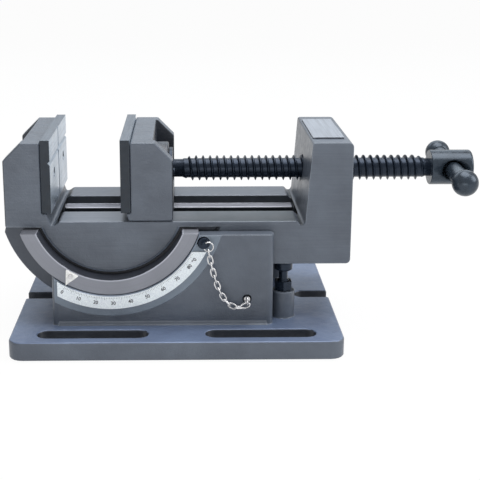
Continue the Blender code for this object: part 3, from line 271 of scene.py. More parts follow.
# Bare metal: heights of grain and marks, shares of a colour, and how many grains wide its clouds are
FAINT_MARKS = 0.00001
FINE_MARKS = 0.00002
CLEAR_MARKS = 0.00003
ROUGH_MARKS = 0.00005
COARSE_MARKS = 0.00008
METAL_SCALE = 60
MARK_DARK_SHARE = 0.8
MARK_PALE_SHARE = 1.15
MARK_ROUGH_DROP = 0.05
MARK_ROUGH_RISE = 0.07
GRAIN_DARK_SHARE = 0.75
CLOUD_GRAINS = 6
ROUGH_GRAINS = 3
GRAIN_ROUGH_DROP = 0.06
GRAIN_ROUGH_RISE = 0.08

# Metals with an even grain: name, colour, roughness, metallic, scale of the grain and its height
GRAINED_METALS = {
    "black": ("black_oxide", (0.017, 0.027, 0.046), 0.3, 0.6, 1400, FINE_MARKS),
    "zinc": ("bright_zinc", (0.72, 0.72, 0.73), 0.26, 0.95, 900, FINE_MARKS),
    "ring_side": ("ring_side", (0.045, 0.051, 0.067), 0.45, 0.2, 500, COARSE_MARKS),
    "plate_screw": ("plate_screw", (0.3, 0.33, 0.38), 0.38, 0.6, 900, FINE_MARKS),
    "plate_end": ("dark_steel", (0.014, 0.023, 0.036), 0.55, 0.0, 1200, CLEAR_MARKS),
    # Channel's faces: darkened as painted shade between the ways
    "channel": ("channel_painted_shade", (0.03, 0.037, 0.047), 0.4, 0.2, 700, ROUGH_MARKS),
    "hub": ("hub_black", (0.038, 0.053, 0.073), 0.27, 0.45, 900, FAINT_MARKS),
}

# Metals with cutter marks: name, colour, roughness, metallic, scale of the marks along X, Y and Z, and height
MARKED_METALS = {
    "iron": ("milled_iron", (0.25, 0.255, 0.26), 0.4, 0.7, (20, 700, 700), CLEAR_MARKS),
    "plate": ("ground_steel", (0.44, 0.51, 0.59), 0.32, 0.75, (900, 20, 900), FINE_MARKS),
    "scale": ("satin_aluminium", (0.8, 0.86, 0.95), 0.45, 0.1, (1500, 20, 1500), FAINT_MARKS),
    "plate_top": ("dull_steel", (0.128, 0.149, 0.18), 0.4, 0.4, (900, 20, 900), FAINT_MARKS),
    "blank": ("blank_aluminium", (0.275, 0.302, 0.345), 0.45, 0.25, (900, 20, 900), FAINT_MARKS),
    "pointer": ("pointer_silver", (0.88, 0.88, 0.86), 0.4, 0.1, (500, 500, 500), FAINT_MARKS),
    "bronze": ("turned_bronze", (0.42, 0.28, 0.12), 0.38, 0.85, (900, 40, 40), FINE_MARKS),
    # Ledge: milled iron, lightened further as painted light against the channel's shade
    "ledge": ("milled_ledge_painted_light", (0.4, 0.415, 0.475), 0.4, 0.3, (15, 800, 800), FAINT_MARKS),
}

# Rail rings, with marks in circles and a painted highlight along the inner edge
RING_IRON = (0.25, 0.262, 0.3)
RING_ROUGHNESS = 0.42
RING_METALLIC = 0.42
RING_ROUGH_SPREAD = 0.06
RING_MARK_SCALE = 2600
RING_CLOUD_SCALE = 45
RING_CLOUD_SPAN = (0.4, 1.0)
RING_LINE_SPAN = (0.2, 1.0)
RING_DARK_SHARE = 0.82
RING_PALE_SHARE = 1.12
RING_HIGHLIGHT_SHARE = 1.7

# Print
INK = (0.05, 0.055, 0.065)
INK_WORN = (0.12, 0.13, 0.15)
INK_ROUGHNESS = 0.6
INK_SCALE = 1500
INK_MIX_SPAN = (0.0, 0.4)

# Camera, its lens as a share of the sensor's width
LENS_SHARE = 2.183
CAMERA_PLACE = Vector((0.006131, -0.732228, 0.275698))
CAMERA_PITCH = 0.247197
CAMERA_YAW = -0.015772
CAMERA_SHIFT = (0.08, -0.1)
CAMERA_NEAR = 0.01

# Floor and world: colours, strengths, and how much of them the camera and glossy faces see
WHITE = (1, 1, 1)
FLOOR_HALF = 4
FLOOR_DROP = 0.0002
FLOOR_COLOUR = (0.92, 0.92, 0.92)
FLOOR_ROUGHNESS = 0.9
FLOOR_GLOW = 1.0
FLOOR_GLOW_SHARE = 0.955
SKY_STRENGTH = 0.38
BACKDROP_STRENGTH = 1.0
GLOSSY_SHARE = 0.305

# Lights: name, place, target, size, watts and colour
LIGHTS = (
    ("top_light", (0.15, 0.1, 1.15), (0, 0, 0.05), (1.1, 0.9), 14, WHITE),
    ("right_light", (1.2, -0.2, 0.75), (0, 0, 0.07), (0.8, 0.8), 8, WHITE),
    ("back_light", (0, 1.3, 0.9), (0, 0, 0.05), (2.0, 0.6), 5, (0.75, 0.88, 1.0)),
    ("front_light", (-0.25, -1.4, 0.16), (-0.03, 0, 0.06), (1.0, 0.3), 2.6, WHITE),
)

# Directions
RIGHT = Vector((1, 0, 0))
UP = Vector((0, 0, 1))
BAR_WAY = Vector((0, -cos(BAR_TILT), -sin(BAR_TILT)))


def low(node):
    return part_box(node)[0]


def high(node):
    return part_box(node)[1]


def middle(node):
    return (low(node) + high(node)) / 2


# Places read from the solids
SCREW_Z = middle("lead_screw").z
PIVOT_Z = low("front_rail_ring").z + RAIL_R
PIVOT = Vector((PIVOT_X, 0, PIVOT_Z))
BED_Z = low("fixed_jaw_plate").z - PLATE_ABOVE_BED
LEDGE_Z = BED_Z - LEDGE_DROP
SCALE_Y = low("scale_plate").y
BAR_MID = Vector((BAR_X, 0, SCREW_Z))


# Materials
class Nodes:
    """A short way to build one material's nodes."""

    def __init__(self, name, colour, roughness, metallic):
        self.material = bpy.data.materials.new(name)
        self.material.use_nodes = True
        self.material.diffuse_color = (*colour, 1)
        self.tree = self.material.node_tree
        self.shader = self.tree.nodes["Principled BSDF"]
        self.shader.inputs["Base Color"].default_value = (*colour, 1)
        self.shader.inputs["Roughness"].default_value = roughness
        self.shader.inputs["Metallic"].default_value = metallic
        self.place = self.add("ShaderNodeTexCoord").outputs["Object"]

    def add(self, kind, **settings):
        node = self.tree.nodes.new(kind)
        for key, value in settings.items():
            setattr(node, key, value)
        return node

    def link(self, start, end):
        self.tree.links.new(start, end)

    def noise(self, scale, detail=NOISE_DETAIL, rough=NOISE_ROUGH_SHARE, place=None):
        node = self.add("ShaderNodeTexNoise")
        node.inputs["Scale"].default_value = scale
        node.inputs["Detail"].default_value = detail
        node.inputs["Roughness"].default_value = rough
        self.link(place or self.place, node.inputs["Vector"])
        return node.outputs["Fac"]

    def lines(self, scale):
        """Noise that is scaled unevenly along X, Y and Z, so that it runs in lines."""
        mapping = self.add("ShaderNodeMapping")
        mapping.inputs["Scale"].default_value = scale
        self.link(self.place, mapping.inputs["Vector"])
        return self.noise(1, rough=LINE_ROUGH_SHARE, place=mapping.outputs["Vector"])

    def ramp(self, value, span, result=FULL_SPAN):
        """A span of a value, spread over the result's two ends."""
        node = self.add("ShaderNodeMapRange")
        for key, end in zip(("From Min", "From Max", "To Min", "To Max"), (*span, *result)):
            node.inputs[key].default_value = end
        self.link(value, node.inputs["Value"])
        return node.outputs["Result"]

    def math(self, operation, first, second):
        node = self.add("ShaderNodeMath", operation=operation)
        for socket, value in zip(node.inputs, (first, second)):
            if isinstance(value, (int, float)):
                socket.default_value = value
            else:
                self.link(value, socket)
        return node.outputs["Value"]

    def mix(self, share, first, second):
        node = self.add("ShaderNodeMix", data_type="RGBA")
        self.link(share, node.inputs["Factor"])
        for key, value in (("A", first), ("B", second)):
            socket = [s for s in node.inputs if s.name == key and s.type == "RGBA"][0]
            if isinstance(value, tuple):
                socket.default_value = (*value, 1)
            else:
                self.link(value, socket)
        return [s for s in node.outputs if s.type == "RGBA"][0]

    def worn_edges(self):
        """1 near a sharp edge and 0 away from it."""
        soft = self.add("ShaderNodeBevel", samples=WEAR_AND_SHEEN_SAMPLES)
        soft.inputs["Radius"].default_value = WEAR_AND_SHEEN_WIDTH
        geometry = self.add("ShaderNodeNewGeometry")
        dot = self.add("ShaderNodeVectorMath", operation="DOT_PRODUCT")
        self.link(soft.outputs["Normal"], dot.inputs[0])
        self.link(geometry.outputs["Normal"], dot.inputs[1])
        return self.ramp(dot.outputs["Value"], WEAR_AND_SHEEN_SPAN)

    def bump(self, *layers):
        """Bump from (pattern, height) layers, laid on each other."""
        normal = None
        for pattern, height in layers:
            node = self.add("ShaderNodeBump")
            node.inputs["Distance"].default_value = height
            self.link(pattern, node.inputs["Height"])
            if normal:
                self.link(normal, node.inputs["Normal"])
            normal = node.outputs["Normal"]
        self.link(normal, self.shader.inputs["Normal"])

    def pivot_reach(self):
        """Each point's distance from the tilt axis."""
        shift = self.add("ShaderNodeVectorMath", operation="SUBTRACT")
        shift.inputs[1].default_value = PIVOT
        self.link(self.place, shift.inputs[0])
        flat = self.add("ShaderNodeVectorMath", operation="MULTIPLY")
        flat.inputs[1].default_value = (1, 0, 1)
        self.link(shift.outputs["Vector"], flat.inputs[0])
        length = self.add("ShaderNodeVectorMath", operation="LENGTH")
        self.link(flat.outputs["Vector"], length.inputs[0])
        return length.outputs["Value"]

    def colour(self, value):
        self.link(value, self.shader.inputs["Base Color"])

    def roughness(self, value):
        self.link(value, self.shader.inputs["Roughness"])


def tinted(colour, shares):
    """A colour with each channel times its share, up to full."""
    return tuple(min(1, channel * share) for channel, share in zip(colour, shares))


def shaded(colour, share):
    """A colour with all its channels times one share, up to full."""
    return tinted(colour, (share, share, share))


def cast_paint(name, streaks=False, shares=(1, 1, 1)):
    """Satin paint over a casting: soft waves, orange peel, and paler edges that are partly worn paint and
    partly a painted highlight.
    """
    m = Nodes(name, PAINT, PAINT_ROUGHNESS, PAINT_METALLIC)
    cloud = m.ramp(m.noise(CLOUD_SCALE, SOFT_DETAIL), CLOUD_SPAN)
    base = m.mix(cloud, tinted(PAINT_DARK, shares), tinted(PAINT, shares))
    if streaks:
        lines = m.lines(STREAK_SCALE)
        base = m.mix(m.ramp(lines, STREAK_SPAN, STREAK_MIX_SPAN), base, PAINT_WORN_AND_LIT)
    chips = m.ramp(m.noise(CHIP_SCALE), CHIP_SPAN, CHIP_MIX_SPAN)
    # Edges lightened: worn paint in chips, and a painted highlight
    m.colour(m.mix(m.math("MULTIPLY", m.worn_edges(), chips), base, PAINT_WORN_AND_LIT))
    m.roughness(m.ramp(m.noise(SATIN_SCALE), MIDDLE_SPAN, PAINT_ROUGH_SPAN))
    layers = [(m.noise(WAVE_SCALE), WAVE_HEIGHT), (m.noise(PEEL_SCALE, FINE_DETAIL), PEEL_HEIGHT)]
    if streaks:
        layers.append((lines, STREAK_HEIGHT))
    m.bump(*layers)
    return m.material


def flange_paint():
    """Paint in the sunk flange, darkened as painted shade: darkest in the narrow groove inside the rail,
    lighter outside it.
    """
    m = Nodes("cast_paint_flange_painted_shade", PAINT_DARK, FLANGE_ROUGHNESS, FLANGE_METALLIC)
    share = m.ramp(m.pivot_reach(), (GROOVE_R, RAIL_R))
    # Painted shade, darkest at the groove
    m.colour(m.mix(share, GROOVE_PAINTED_SHADE, FLANGE_PAINTED_SHADE))
    m.roughness(m.ramp(m.noise(SATIN_SCALE), MIDDLE_SPAN, FLANGE_ROUGH_SPAN))
    m.bump((m.noise(PEEL_SCALE, FINE_DETAIL), FLANGE_HEIGHT))
    return m.material


def oiled_ways():
    """Milled ways, the rear one darker, and an oil film on the front one past the movable jaw."""
    m = Nodes("machined_ways", WAY, WAY_ROUGHNESS, WAY_METALLIC)
    lines = m.lines(WAY_SCALE)
    clean = m.mix(m.ramp(lines, MIDDLE_SPAN), WAY_DARK, WAY_PALE)
    axes = m.add("ShaderNodeSeparateXYZ")
    m.link(m.place, axes.inputs["Vector"])
    past_jaw = m.ramp(axes.outputs["X"], (OIL_START_X, OIL_END_X))
    front = m.ramp(axes.outputs["Y"], (0, -WAY_FADE_Y))
    rear = m.ramp(axes.outputs["Y"], (0, WAY_FADE_Y), (0, WAY_REAR_SHARE))
    clean = m.mix(rear, clean, WAY_REAR)
    m.colour(m.mix(m.math("MULTIPLY", past_jaw, front), clean, WAY_OILED))
    m.roughness(m.ramp(m.noise(METAL_SCALE), MIDDLE_SPAN, WAY_ROUGH_SPAN))
    m.bump((lines, FINE_MARKS))
    return m.material


def marked_metal(name, colour, roughness, metallic, scale, height):
    """Machined metal with cutter marks along one direction."""
    m = Nodes(name, colour, roughness, metallic)
    lines = m.lines(scale)
    marks = m.ramp(lines, MIDDLE_SPAN)
    m.colour(m.mix(marks, shaded(colour, MARK_DARK_SHARE), shaded(colour, MARK_PALE_SHARE)))
    rough_span = (roughness - MARK_ROUGH_DROP, roughness + MARK_ROUGH_RISE)
    m.roughness(m.ramp(m.noise(METAL_SCALE), MIDDLE_SPAN, rough_span))
    m.bump((lines, height))
    return m.material


def grained_metal(name, colour, roughness, metallic, scale, height):
    """Metal with a fine even grain."""
    m = Nodes(name, colour, roughness, metallic)
    cloud = m.ramp(m.noise(scale / CLOUD_GRAINS), GRAIN_SPAN)
    m.colour(m.mix(cloud, shaded(colour, GRAIN_DARK_SHARE), colour))
    rough_span = (roughness - GRAIN_ROUGH_DROP, roughness + GRAIN_ROUGH_RISE)
    m.roughness(m.ramp(m.noise(scale / ROUGH_GRAINS), MIDDLE_SPAN, rough_span))
    m.bump((m.noise(scale, FINE_DETAIL), height))
    return m.material


def ring_iron():
    """Machined iron with cutter marks in circles about the tilt axis, and a painted highlight along its inner
    edge.
    """
    m = Nodes("turned_iron", RING_IRON, RING_ROUGHNESS, RING_METALLIC)
    reach = m.pivot_reach()
    rings = m.add("ShaderNodeTexNoise", noise_dimensions="1D")
    rings.inputs["Scale"].default_value = RING_MARK_SCALE
    rings.inputs["Detail"].default_value = NOISE_DETAIL
    m.link(reach, rings.inputs["W"])
    lines = rings.outputs["Fac"]
    cloud = m.ramp(m.noise(RING_CLOUD_SCALE), MIDDLE_SPAN, RING_CLOUD_SPAN)
    marks = m.math("MULTIPLY", cloud, m.ramp(lines, MIDDLE_SPAN, RING_LINE_SPAN))
    turned_faces = m.mix(marks, shaded(RING_IRON, RING_DARK_SHARE), shaded(RING_IRON, RING_PALE_SHARE))
    inner_edge = RAIL_R - RAIL_WIDTH
    # Painted highlight along the ring's inner edge
    inner_highlight = m.ramp(reach, (inner_edge + RING_HIGHLIGHT_WIDTH / 2, inner_edge + RING_HIGHLIGHT_WIDTH), (1, 0))
    m.colour(m.mix(inner_highlight, turned_faces, shaded(RING_IRON, RING_HIGHLIGHT_SHARE)))
    rough_span = (RING_ROUGHNESS - RING_ROUGH_SPREAD, RING_ROUGHNESS + RING_ROUGH_SPREAD)
    m.roughness(m.ramp(lines, MIDDLE_SPAN, rough_span))
    m.bump((lines, CLEAR_MARKS))
    return m.material


def ink():
    """Dark print, worn thin in places."""
    m = Nodes("scale_ink", INK, INK_ROUGHNESS, 0)
    worn = m.ramp(m.noise(INK_SCALE, FINE_DETAIL), INK_SPAN, INK_MIX_SPAN)
    m.colour(m.mix(worn, INK, INK_WORN))
    return m.material


def make_finishes():
    """Each finish of the object, by its key."""
    finishes = {
        "plain": cast_paint("cast_paint"),
        "milled": cast_paint("cast_paint_milled", streaks=True),
        "recess": flange_paint(),
        "ways": oiled_ways(),
        "ring": ring_iron(),
        "ink": ink(),
    }
    for key, shares in PAINT_TINT_SHARES.items():
        finishes[key] = cast_paint(f"cast_paint_{key}", shares=shares)
    for key, row in GRAINED_METALS.items():
        finishes[key] = grained_metal(*row)
    for key, row in MARKED_METALS.items():
        finishes[key] = marked_metal(*row)
    return finishes


# Mesh tools
def new_object(name, builder, *materials):
    """A smooth-shaded object from a built mesh, which it uses up."""
    mesh = bpy.data.meshes.new(name)
    builder.to_mesh(mesh)
    builder.free()
    mesh.shade_smooth()
    mesh.set_sharp_from_angle(angle=SMOOTH_TURN)
    obj = bpy.data.objects.new(name, mesh)
    bpy.context.scene.collection.objects.link(obj)
    for material in materials:
        mesh.materials.append(material)
    return obj


def settle(obj, body, slot, *nodes):
    """Ride a piece on its body, and let it stand for its nodes."""
    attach(obj, body)
    if nodes:
        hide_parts(*nodes)


def circle_turns(sides):
    return [2 * pi * i / sides for i in range(sides)]


def turned(profile, start, way, sides=TURN_SIDES):
    """A solid of revolution from (radius, height) points, low end first."""
    builder = bmesh.new()
    rings = []
    for radius, height in profile:
        if radius == 0:
            rings.append([builder.verts.new((0, 0, height))])
            continue
        places = [(radius * cos(t), radius * sin(t), height) for t in circle_turns(sides)]
        rings.append([builder.verts.new(place) for place in places])
    for below, above in zip(rings, rings[1:]):
        for i in range(sides):
            j = (i + 1) % sides
            corners = [below[k % len(below)] for k in (i, j)] + [above[k % len(above)] for k in (j, i)]
            corners = list(dict.fromkeys(corners))
            if len(corners) > 2:
                builder.faces.new(corners)
    turn = UP.rotation_difference(Vector(way)).to_matrix().to_4x4()
    bmesh.ops.transform(builder, matrix=Matrix.Translation(Vector(start)) @ turn, verts=builder.verts)
    bmesh.ops.recalc_face_normals(builder, faces=builder.faces)
    return builder


def tube(points, radius, closed=True, sides=WIRE_SIDES):
    """A round wire along points."""
    builder = bmesh.new()
    count = len(points)
    rings = []
    side = None
    for i, point in enumerate(points):
        before = points[(i - 1) % count] if closed or i > 0 else point
        after = points[(i + 1) % count] if closed or i < count - 1 else point
        along = (after - before).normalized()
        if side is None:
            side = along.orthogonal().normalized()
        side = (side - along * side.dot(along)).normalized()
        over = along.cross(side)
        places = [point + (side * cos(t) + over * sin(t)) * radius for t in circle_turns(sides)]
        rings.append([builder.verts.new(place) for place in places])
    spans = count if closed else count - 1
    for i in range(spans):
        here, there = rings[i], rings[(i + 1) % count]
        shift = 0
        if closed and i == count - 1:
            shift = min(range(sides), key=lambda k: (there[k].co - here[0].co).length)
        for k in range(sides):
            next_k = (k + 1) % sides
            builder.faces.new(
                (here[k], here[next_k], there[(k + 1 + shift) % sides], there[(k + shift) % sides])
            )
    if not closed:
        builder.faces.new(rings[0])
        builder.faces.new(rings[-1])
    bmesh.ops.recalc_face_normals(builder, faces=builder.faces)
    return builder


def gather(builders):
    """Several built meshes as one."""
    whole = bmesh.new()
    for builder in builders:
        mesh = bpy.data.meshes.new("piece")
        builder.to_mesh(mesh)
        builder.free()
        whole.from_mesh(mesh)
        bpy.data.meshes.remove(mesh)
    return whole


def welded(builders):
    """Several built meshes as one, joined where they meet."""
    whole = gather(builders)
    bmesh.ops.remove_doubles(whole, verts=whole.verts, dist=FINE_WELD)
    bmesh.ops.dissolve_degenerate(whole, edges=whole.edges, dist=FINEST_WELD)
    bmesh.ops.recalc_face_normals(whole, faces=whole.faces)
    return whole


def rounded_end(radius, level, edge, way):
    """A quarter round at the end of a turned piece: way is 1 at its low end and -1 at its high end."""
    turns = [pi / 2 * i / CORNER_STEPS for i in range(CORNER_STEPS + 1)]
    points = [(radius - edge + edge * sin(t), level + way * (edge - edge * cos(t))) for t in turns]
    return points if way > 0 else points[::-1]


def cut(obj, builder):
    """Cut a shape from a piece, for good."""
    other = new_object("cutter", builder)
    step = obj.modifiers.new("cut", "BOOLEAN")
    step.operation = "DIFFERENCE"
    step.solver = "EXACT"
    step.object = other
    bpy.context.view_layer.update()
    graph = bpy.context.evaluated_depsgraph_get()
    mesh = bpy.data.meshes.new_from_object(obj.evaluated_get(graph))
    obj.modifiers.clear()
    obj.data = mesh
    bpy.data.objects.remove(other, do_unlink=True)


def solid_faces(node):
    """A node's own mesh, welded and with its flat faces joined."""
    builder = bmesh.new()
    builder.from_mesh(frame["nodes"][node].data)
    bmesh.ops.remove_doubles(builder, verts=builder.verts, dist=WELD)
    bmesh.ops.dissolve_limit(builder, angle_limit=FLAT_TURN, verts=builder.verts, edges=builder.edges)
    bmesh.ops.recalc_face_normals(builder, faces=builder.faces)
    return builder


def flat_normals(obj):
    """Let the large flat faces set the normals, so that only the rounded edges are shaded round."""
    step = obj.modifiers.new("normals", "WEIGHTED_NORMAL")
    step.weight = NORMAL_WEIGHT
    step.keep_sharp = True


def soften(obj, width):
    """Round the sharp edges, less where the edges beside them are short."""
    mesh = obj.data
    builder = bmesh.new()
    builder.from_mesh(mesh)
    layer = builder.edges.layers.float.new("bevel_weight_edge")
    for edge in builder.edges:
        if len(edge.link_faces) != 2 or edge.calc_face_angle(0) < EDGE_TURN:
            continue
        near = [other.calc_length() for vert in edge.verts for other in vert.link_edges if other != edge]
        room = min(near + [edge.calc_length()]) * EDGE_REACH_SHARE
        edge[layer] = min(1.0, room / width)
    builder.to_mesh(mesh)
    builder.free()
    step = obj.modifiers.new("edges", "BEVEL")
    step.limit_method = "WEIGHT"
    step.width = width
    step.segments = EDGE_SEGMENTS
    step.use_clamp_overlap = False
    step.loop_slide = False
    flat_normals(obj)


def softened(name, node, body, slot, width, finishes, keys, choose=None):
    """A piece that stands for a node, with the node's own faces, soft edges and a finish for each face."""
    obj = new_object(name, solid_faces(node), *[finishes[key] for key in keys])
    if choose:
        for face in obj.data.polygons:
            face.material_index = keys.index(choose(face))
    soften(obj, width)
    settle(obj, body, slot, node)


# Finishes of single faces
def reach_from_pivot(place):
    return Vector((place.x - PIVOT_X, place.z - PIVOT_Z)).length


def base_finish(face):
    """Paint, and apart from it the front rim, painted light on the rings' cradle and the plate's top, and
    painted shade in the slots' insides.
    """
    normal, centre = face.normal, face.center
    if normal.y < -FACING_SHARE and abs(centre.y + RIM_Y) < NEAR and centre.z > SLOT_Z:
        return "rim"
    # Painted light on the cradle beside the rail rings
    if abs(normal.y) < EDGEWAYS_SHARE and RAIL_R < reach_from_pivot(centre) < CRADLE_HIGH_R:
        return "cradle"
    # Painted light and a painted sky reflection on the plate's top
    if normal.z > FACING_SHARE and centre.z < SLOT_Z + PLATE_TOP_REACH:
        return "top"
    if centre.z > SLOT_Z or abs(normal.z) > SLOPING_SHARE:
        return "plain"
    along, across = abs(centre.x), abs(centre.y)
    bolt_slot = abs(across - BOLT_SLOT_Y) < SLOT_HALF_WIDTH and BOLT_SLOT_START_X < along < BOLT_SLOT_END_X
    end_slot = across < SLOT_HALF_WIDTH and END_SLOT_START_X < along < END_SLOT_END_X
    # Painted shade inside the bolt and end slots
    return "shade" if bolt_slot or end_slot else "plain"


def body_finish(face):
    """Paint, and apart from it the sides and ways, painted shade in the channel, flange recess and pocket,
    and painted light on the milled ledges and the disc's lip.
    """
    normal, centre = face.normal, face.center
    upright = abs(normal.y) > FACING_SHARE
    across = abs(centre.y)
    if normal.z > FACING_SHARE and abs(centre.z - BED_Z) < NEAR and across > CHANNEL_Y:
        return "ways"
    # Painted light on the milled ledge, beyond its own colour
    if normal.z > FACING_SHARE and abs(centre.z - LEDGE_Z) < NEAR and across < CHANNEL_Y:
        return "ledge"
    # Painted shade on the channel's faces
    if across < CHANNEL_Y + NEAR and centre.z < BED_Z and CHANNEL_LOW_X < centre.x < CHANNEL_HIGH_X:
        return "channel"
    # Painted shade in the sunk flange
    if upright and abs(across - FLANGE_Y) < NEAR:
        return "recess"
    # Painted light on the disc's rounded lip
    if not upright and LIP_LOW_R < reach_from_pivot(centre) < LIP_HIGH_R and across > FLANGE_Y - NEAR:
        return "lip"
    # Painted shade in the pocket behind the fixed jaw
    if across < POCKET_Y and centre.x < FIXED_POCKET_X and centre.z > POCKET_Z:
        return "shade"
    return "milled" if upright else "plain"


def jaw_finish(face):
    """Paint, and shade in the pocket at the movable jaw's back."""
    centre = face.center
    inside = abs(centre.y) < POCKET_Y and centre.x > MOVING_POCKET_X and centre.z > POCKET_Z
    return "shade" if inside else "plain"


def plate_finish(face):
    """A jaw plate's ends, its top and underside, and its ground faces."""
    if abs(face.normal.y) > FACING_SHARE:
        return "plate_end"
    return "plate_top" if abs(face.normal.z) > FACING_SHARE else "plate"


def ring_finish(face):
    """A rail ring's machined flat faces and ends, and its curved sides, which aren't bright."""
    upright = abs(face.normal.y) > FACING_SHARE
    end_z = PIVOT_Z - RAIL_END_DROP - RAIL_END_PLAY
    level = face.normal.z > LEVEL_SHARE and face.center.z > end_z
    return "ring" if upright or level else "ring_side"


# Pieces that keep their nodes' faces: piece, node, body, keys of the finishes and what chooses between them
CASTINGS = (
    ("base_casting_paint", "base_casting", "base", ("plain", "shade", "top", "rim", "cradle"), base_finish),
    (
        "vise_body_paint", "vise_body_casting", "vise_body",
        ("plain", "milled", "ways", "channel", "recess", "lip", "shade", "ledge"), body_finish,
    ),
    ("movable_jaw_paint", "movable_jaw_casting", "movable_jaw", ("plain", "shade"), jaw_finish),
)

# Finishes that go with another on the same piece, and what chooses between them
FACE_FINISHES = {
    "plate": (("plate", "plate_end", "plate_top"), plate_finish),
    "ring": (("ring", "ring_side"), ring_finish),
}

# Small pieces: nodes, body, slot, key of the finish and edge width
SMALL_PIECES = (
    (("front_rail_ring", "rear_rail_ring"), "vise_body", "machined_iron", "ring", STEEL_EDGE),
    (("fixed_jaw_plate",), "vise_body", "jaw_plate_steel", "plate", STEEL_EDGE),
    (("movable_jaw_plate",), "movable_jaw", "jaw_plate_steel", "plate", STEEL_EDGE),
    (("keeper_plate",), "movable_jaw", "machined_iron", "iron", STEEL_EDGE),
    (("thrust_plate",), "movable_jaw", "black_oxide_steel", "black", STEEL_EDGE),
    (("scale_plate",), "base", "scale_aluminium", "scale", THIN_EDGE),
    (("blank_plate",), "vise_body", "scale_aluminium", "blank", THIN_EDGE),
    (("pointer",), "vise_body", "scale_aluminium", "pointer", THIN_EDGE),
    (("pointer_screw",), "vise_body", "bright_zinc", "zinc", THIN_EDGE),
    (("chain_anchor",), "base", "bright_zinc", "zinc", THIN_EDGE),
    (("screw_nut",), "vise_body", "nut_bronze", "bronze", STEEL_EDGE),
    (("index_pin",), "index_pin", "black_oxide_steel", "black", STEEL_EDGE),
    (
        ("fixed_jaw_screw_front", "fixed_jaw_screw_rear"),
        "vise_body", "jaw_plate_steel", "plate_screw", STEEL_EDGE,
    ),
    (
        ("movable_jaw_screw_front", "movable_jaw_screw_rear"),
        "movable_jaw", "jaw_plate_steel", "plate_screw", STEEL_EDGE,
    ),
    (
        ("keeper_bolt_left", "keeper_bolt_right", "thrust_screw_front", "thrust_screw_rear"),
        "movable_jaw", "black_oxide_steel", "black", STEEL_EDGE,
    ),
    (("jack_screw_front",), "jack_screw_front", "black_oxide_steel", "black", STEEL_EDGE),
    (("jack_screw_rear",), "jack_screw_rear", "black_oxide_steel", "black", STEEL_EDGE),
    (("jack_lock_nut_front", "jack_lock_nut_rear"), "base", "black_oxide_steel", "black", STEEL_EDGE),
    (("jack_pad_front",), "jack_pad_front", "black_oxide_steel", "black", STEEL_EDGE),
    (("jack_pad_rear",), "jack_pad_rear", "black_oxide_steel", "black", STEEL_EDGE),
)


def castings(finishes):
    """The three castings."""
    for name, node, body, keys, choose in CASTINGS:
        softened(name, node, body, "casting_paint", CAST_EDGE, finishes, keys, choose)


def small_pieces(finishes):
    """Nodes that keep their own faces, with softer edges and a finish."""
    for nodes, body, slot, key, width in SMALL_PIECES:
        keys, choose = FACE_FINISHES.get(key, ((key,), None))
        for node in nodes:
            softened(f"{node}_piece", node, body, slot, width, finishes, keys, choose)


# Screw, hub and bar
def thread(start, end, root, crest, pitch, sides=SMALL_SIDES):
    """A right-hand thread along X, on a helical grid that fades into plain rings at both ends."""
    builder = bmesh.new()
    rows_per_turn = len(THREAD_SHARES)
    last = ceil((end - start) / pitch) * rows_per_turn
    grid = {}
    for row in range(-rows_per_turn, last + 1):
        turn, step = divmod(row, rows_per_turn)
        along_share, rise_share = THREAD_SHARES[step]
        for column in range(sides):
            x = start + pitch * (turn + along_share + column / sides)
            fade = max(0.0, min(1.0, (x - start) / pitch, (end - x) / pitch))
            radius = root + (crest - root) * rise_share * fade
            angle = 2 * pi * column / sides
            place = (min(max(x, start), end), radius * cos(angle), radius * sin(angle))
            grid[row, column] = builder.verts.new(place)
    for row in range(-rows_per_turn, last):
        for column in range(sides):
            across, jump = (column + 1, 0) if column + 1 < sides else (0, rows_per_turn)
            if row + jump + 1 > last:
                continue
            corners = ((row, column), (row + jump, across), (row + jump + 1, across), (row + 1, column))
            builder.faces.new([grid[corner] for corner in corners])
    bmesh.ops.remove_doubles(builder, verts=builder.verts, dist=FINE_WELD)
    return builder


def lead_screw(black):
    """The thread, between a plain neck with its thrust collar and the plain end in the hub."""
    start = low("lead_screw").x
    end = high("lead_screw").x
    collar_end = high("thrust_plate").x - COLLAR_DEPTH
    before = [
        (0, start), (COLLAR_R - SCREW_TAPER / 2, start), (COLLAR_R, start + SCREW_TAPER / 2),
        (COLLAR_R, collar_end), (SCREW_NECK_R, collar_end), (SCREW_NECK_R, THREAD_START - SCREW_TAPER),
        (SCREW_ROOT_R, THREAD_START),
    ]
    after = [
        (SCREW_ROOT_R, THREAD_END), (SCREW_NECK_R, THREAD_END + SCREW_TAPER), (SCREW_NECK_R, end), (0, end),
    ]
    builder = welded([
        turned(before, (0, 0, 0), RIGHT, SMALL_SIDES),
        thread(THREAD_START, THREAD_END, SCREW_ROOT_R, SCREW_R, SCREW_PITCH),
        turned(after, (0, 0, 0), RIGHT, SMALL_SIDES),
    ])
    bmesh.ops.translate(builder, verts=builder.verts, vec=UP * SCREW_Z)
    screw = new_object("lead_screw_thread", builder, black)
    settle(screw, "screw", "black_oxide_steel", "lead_screw")


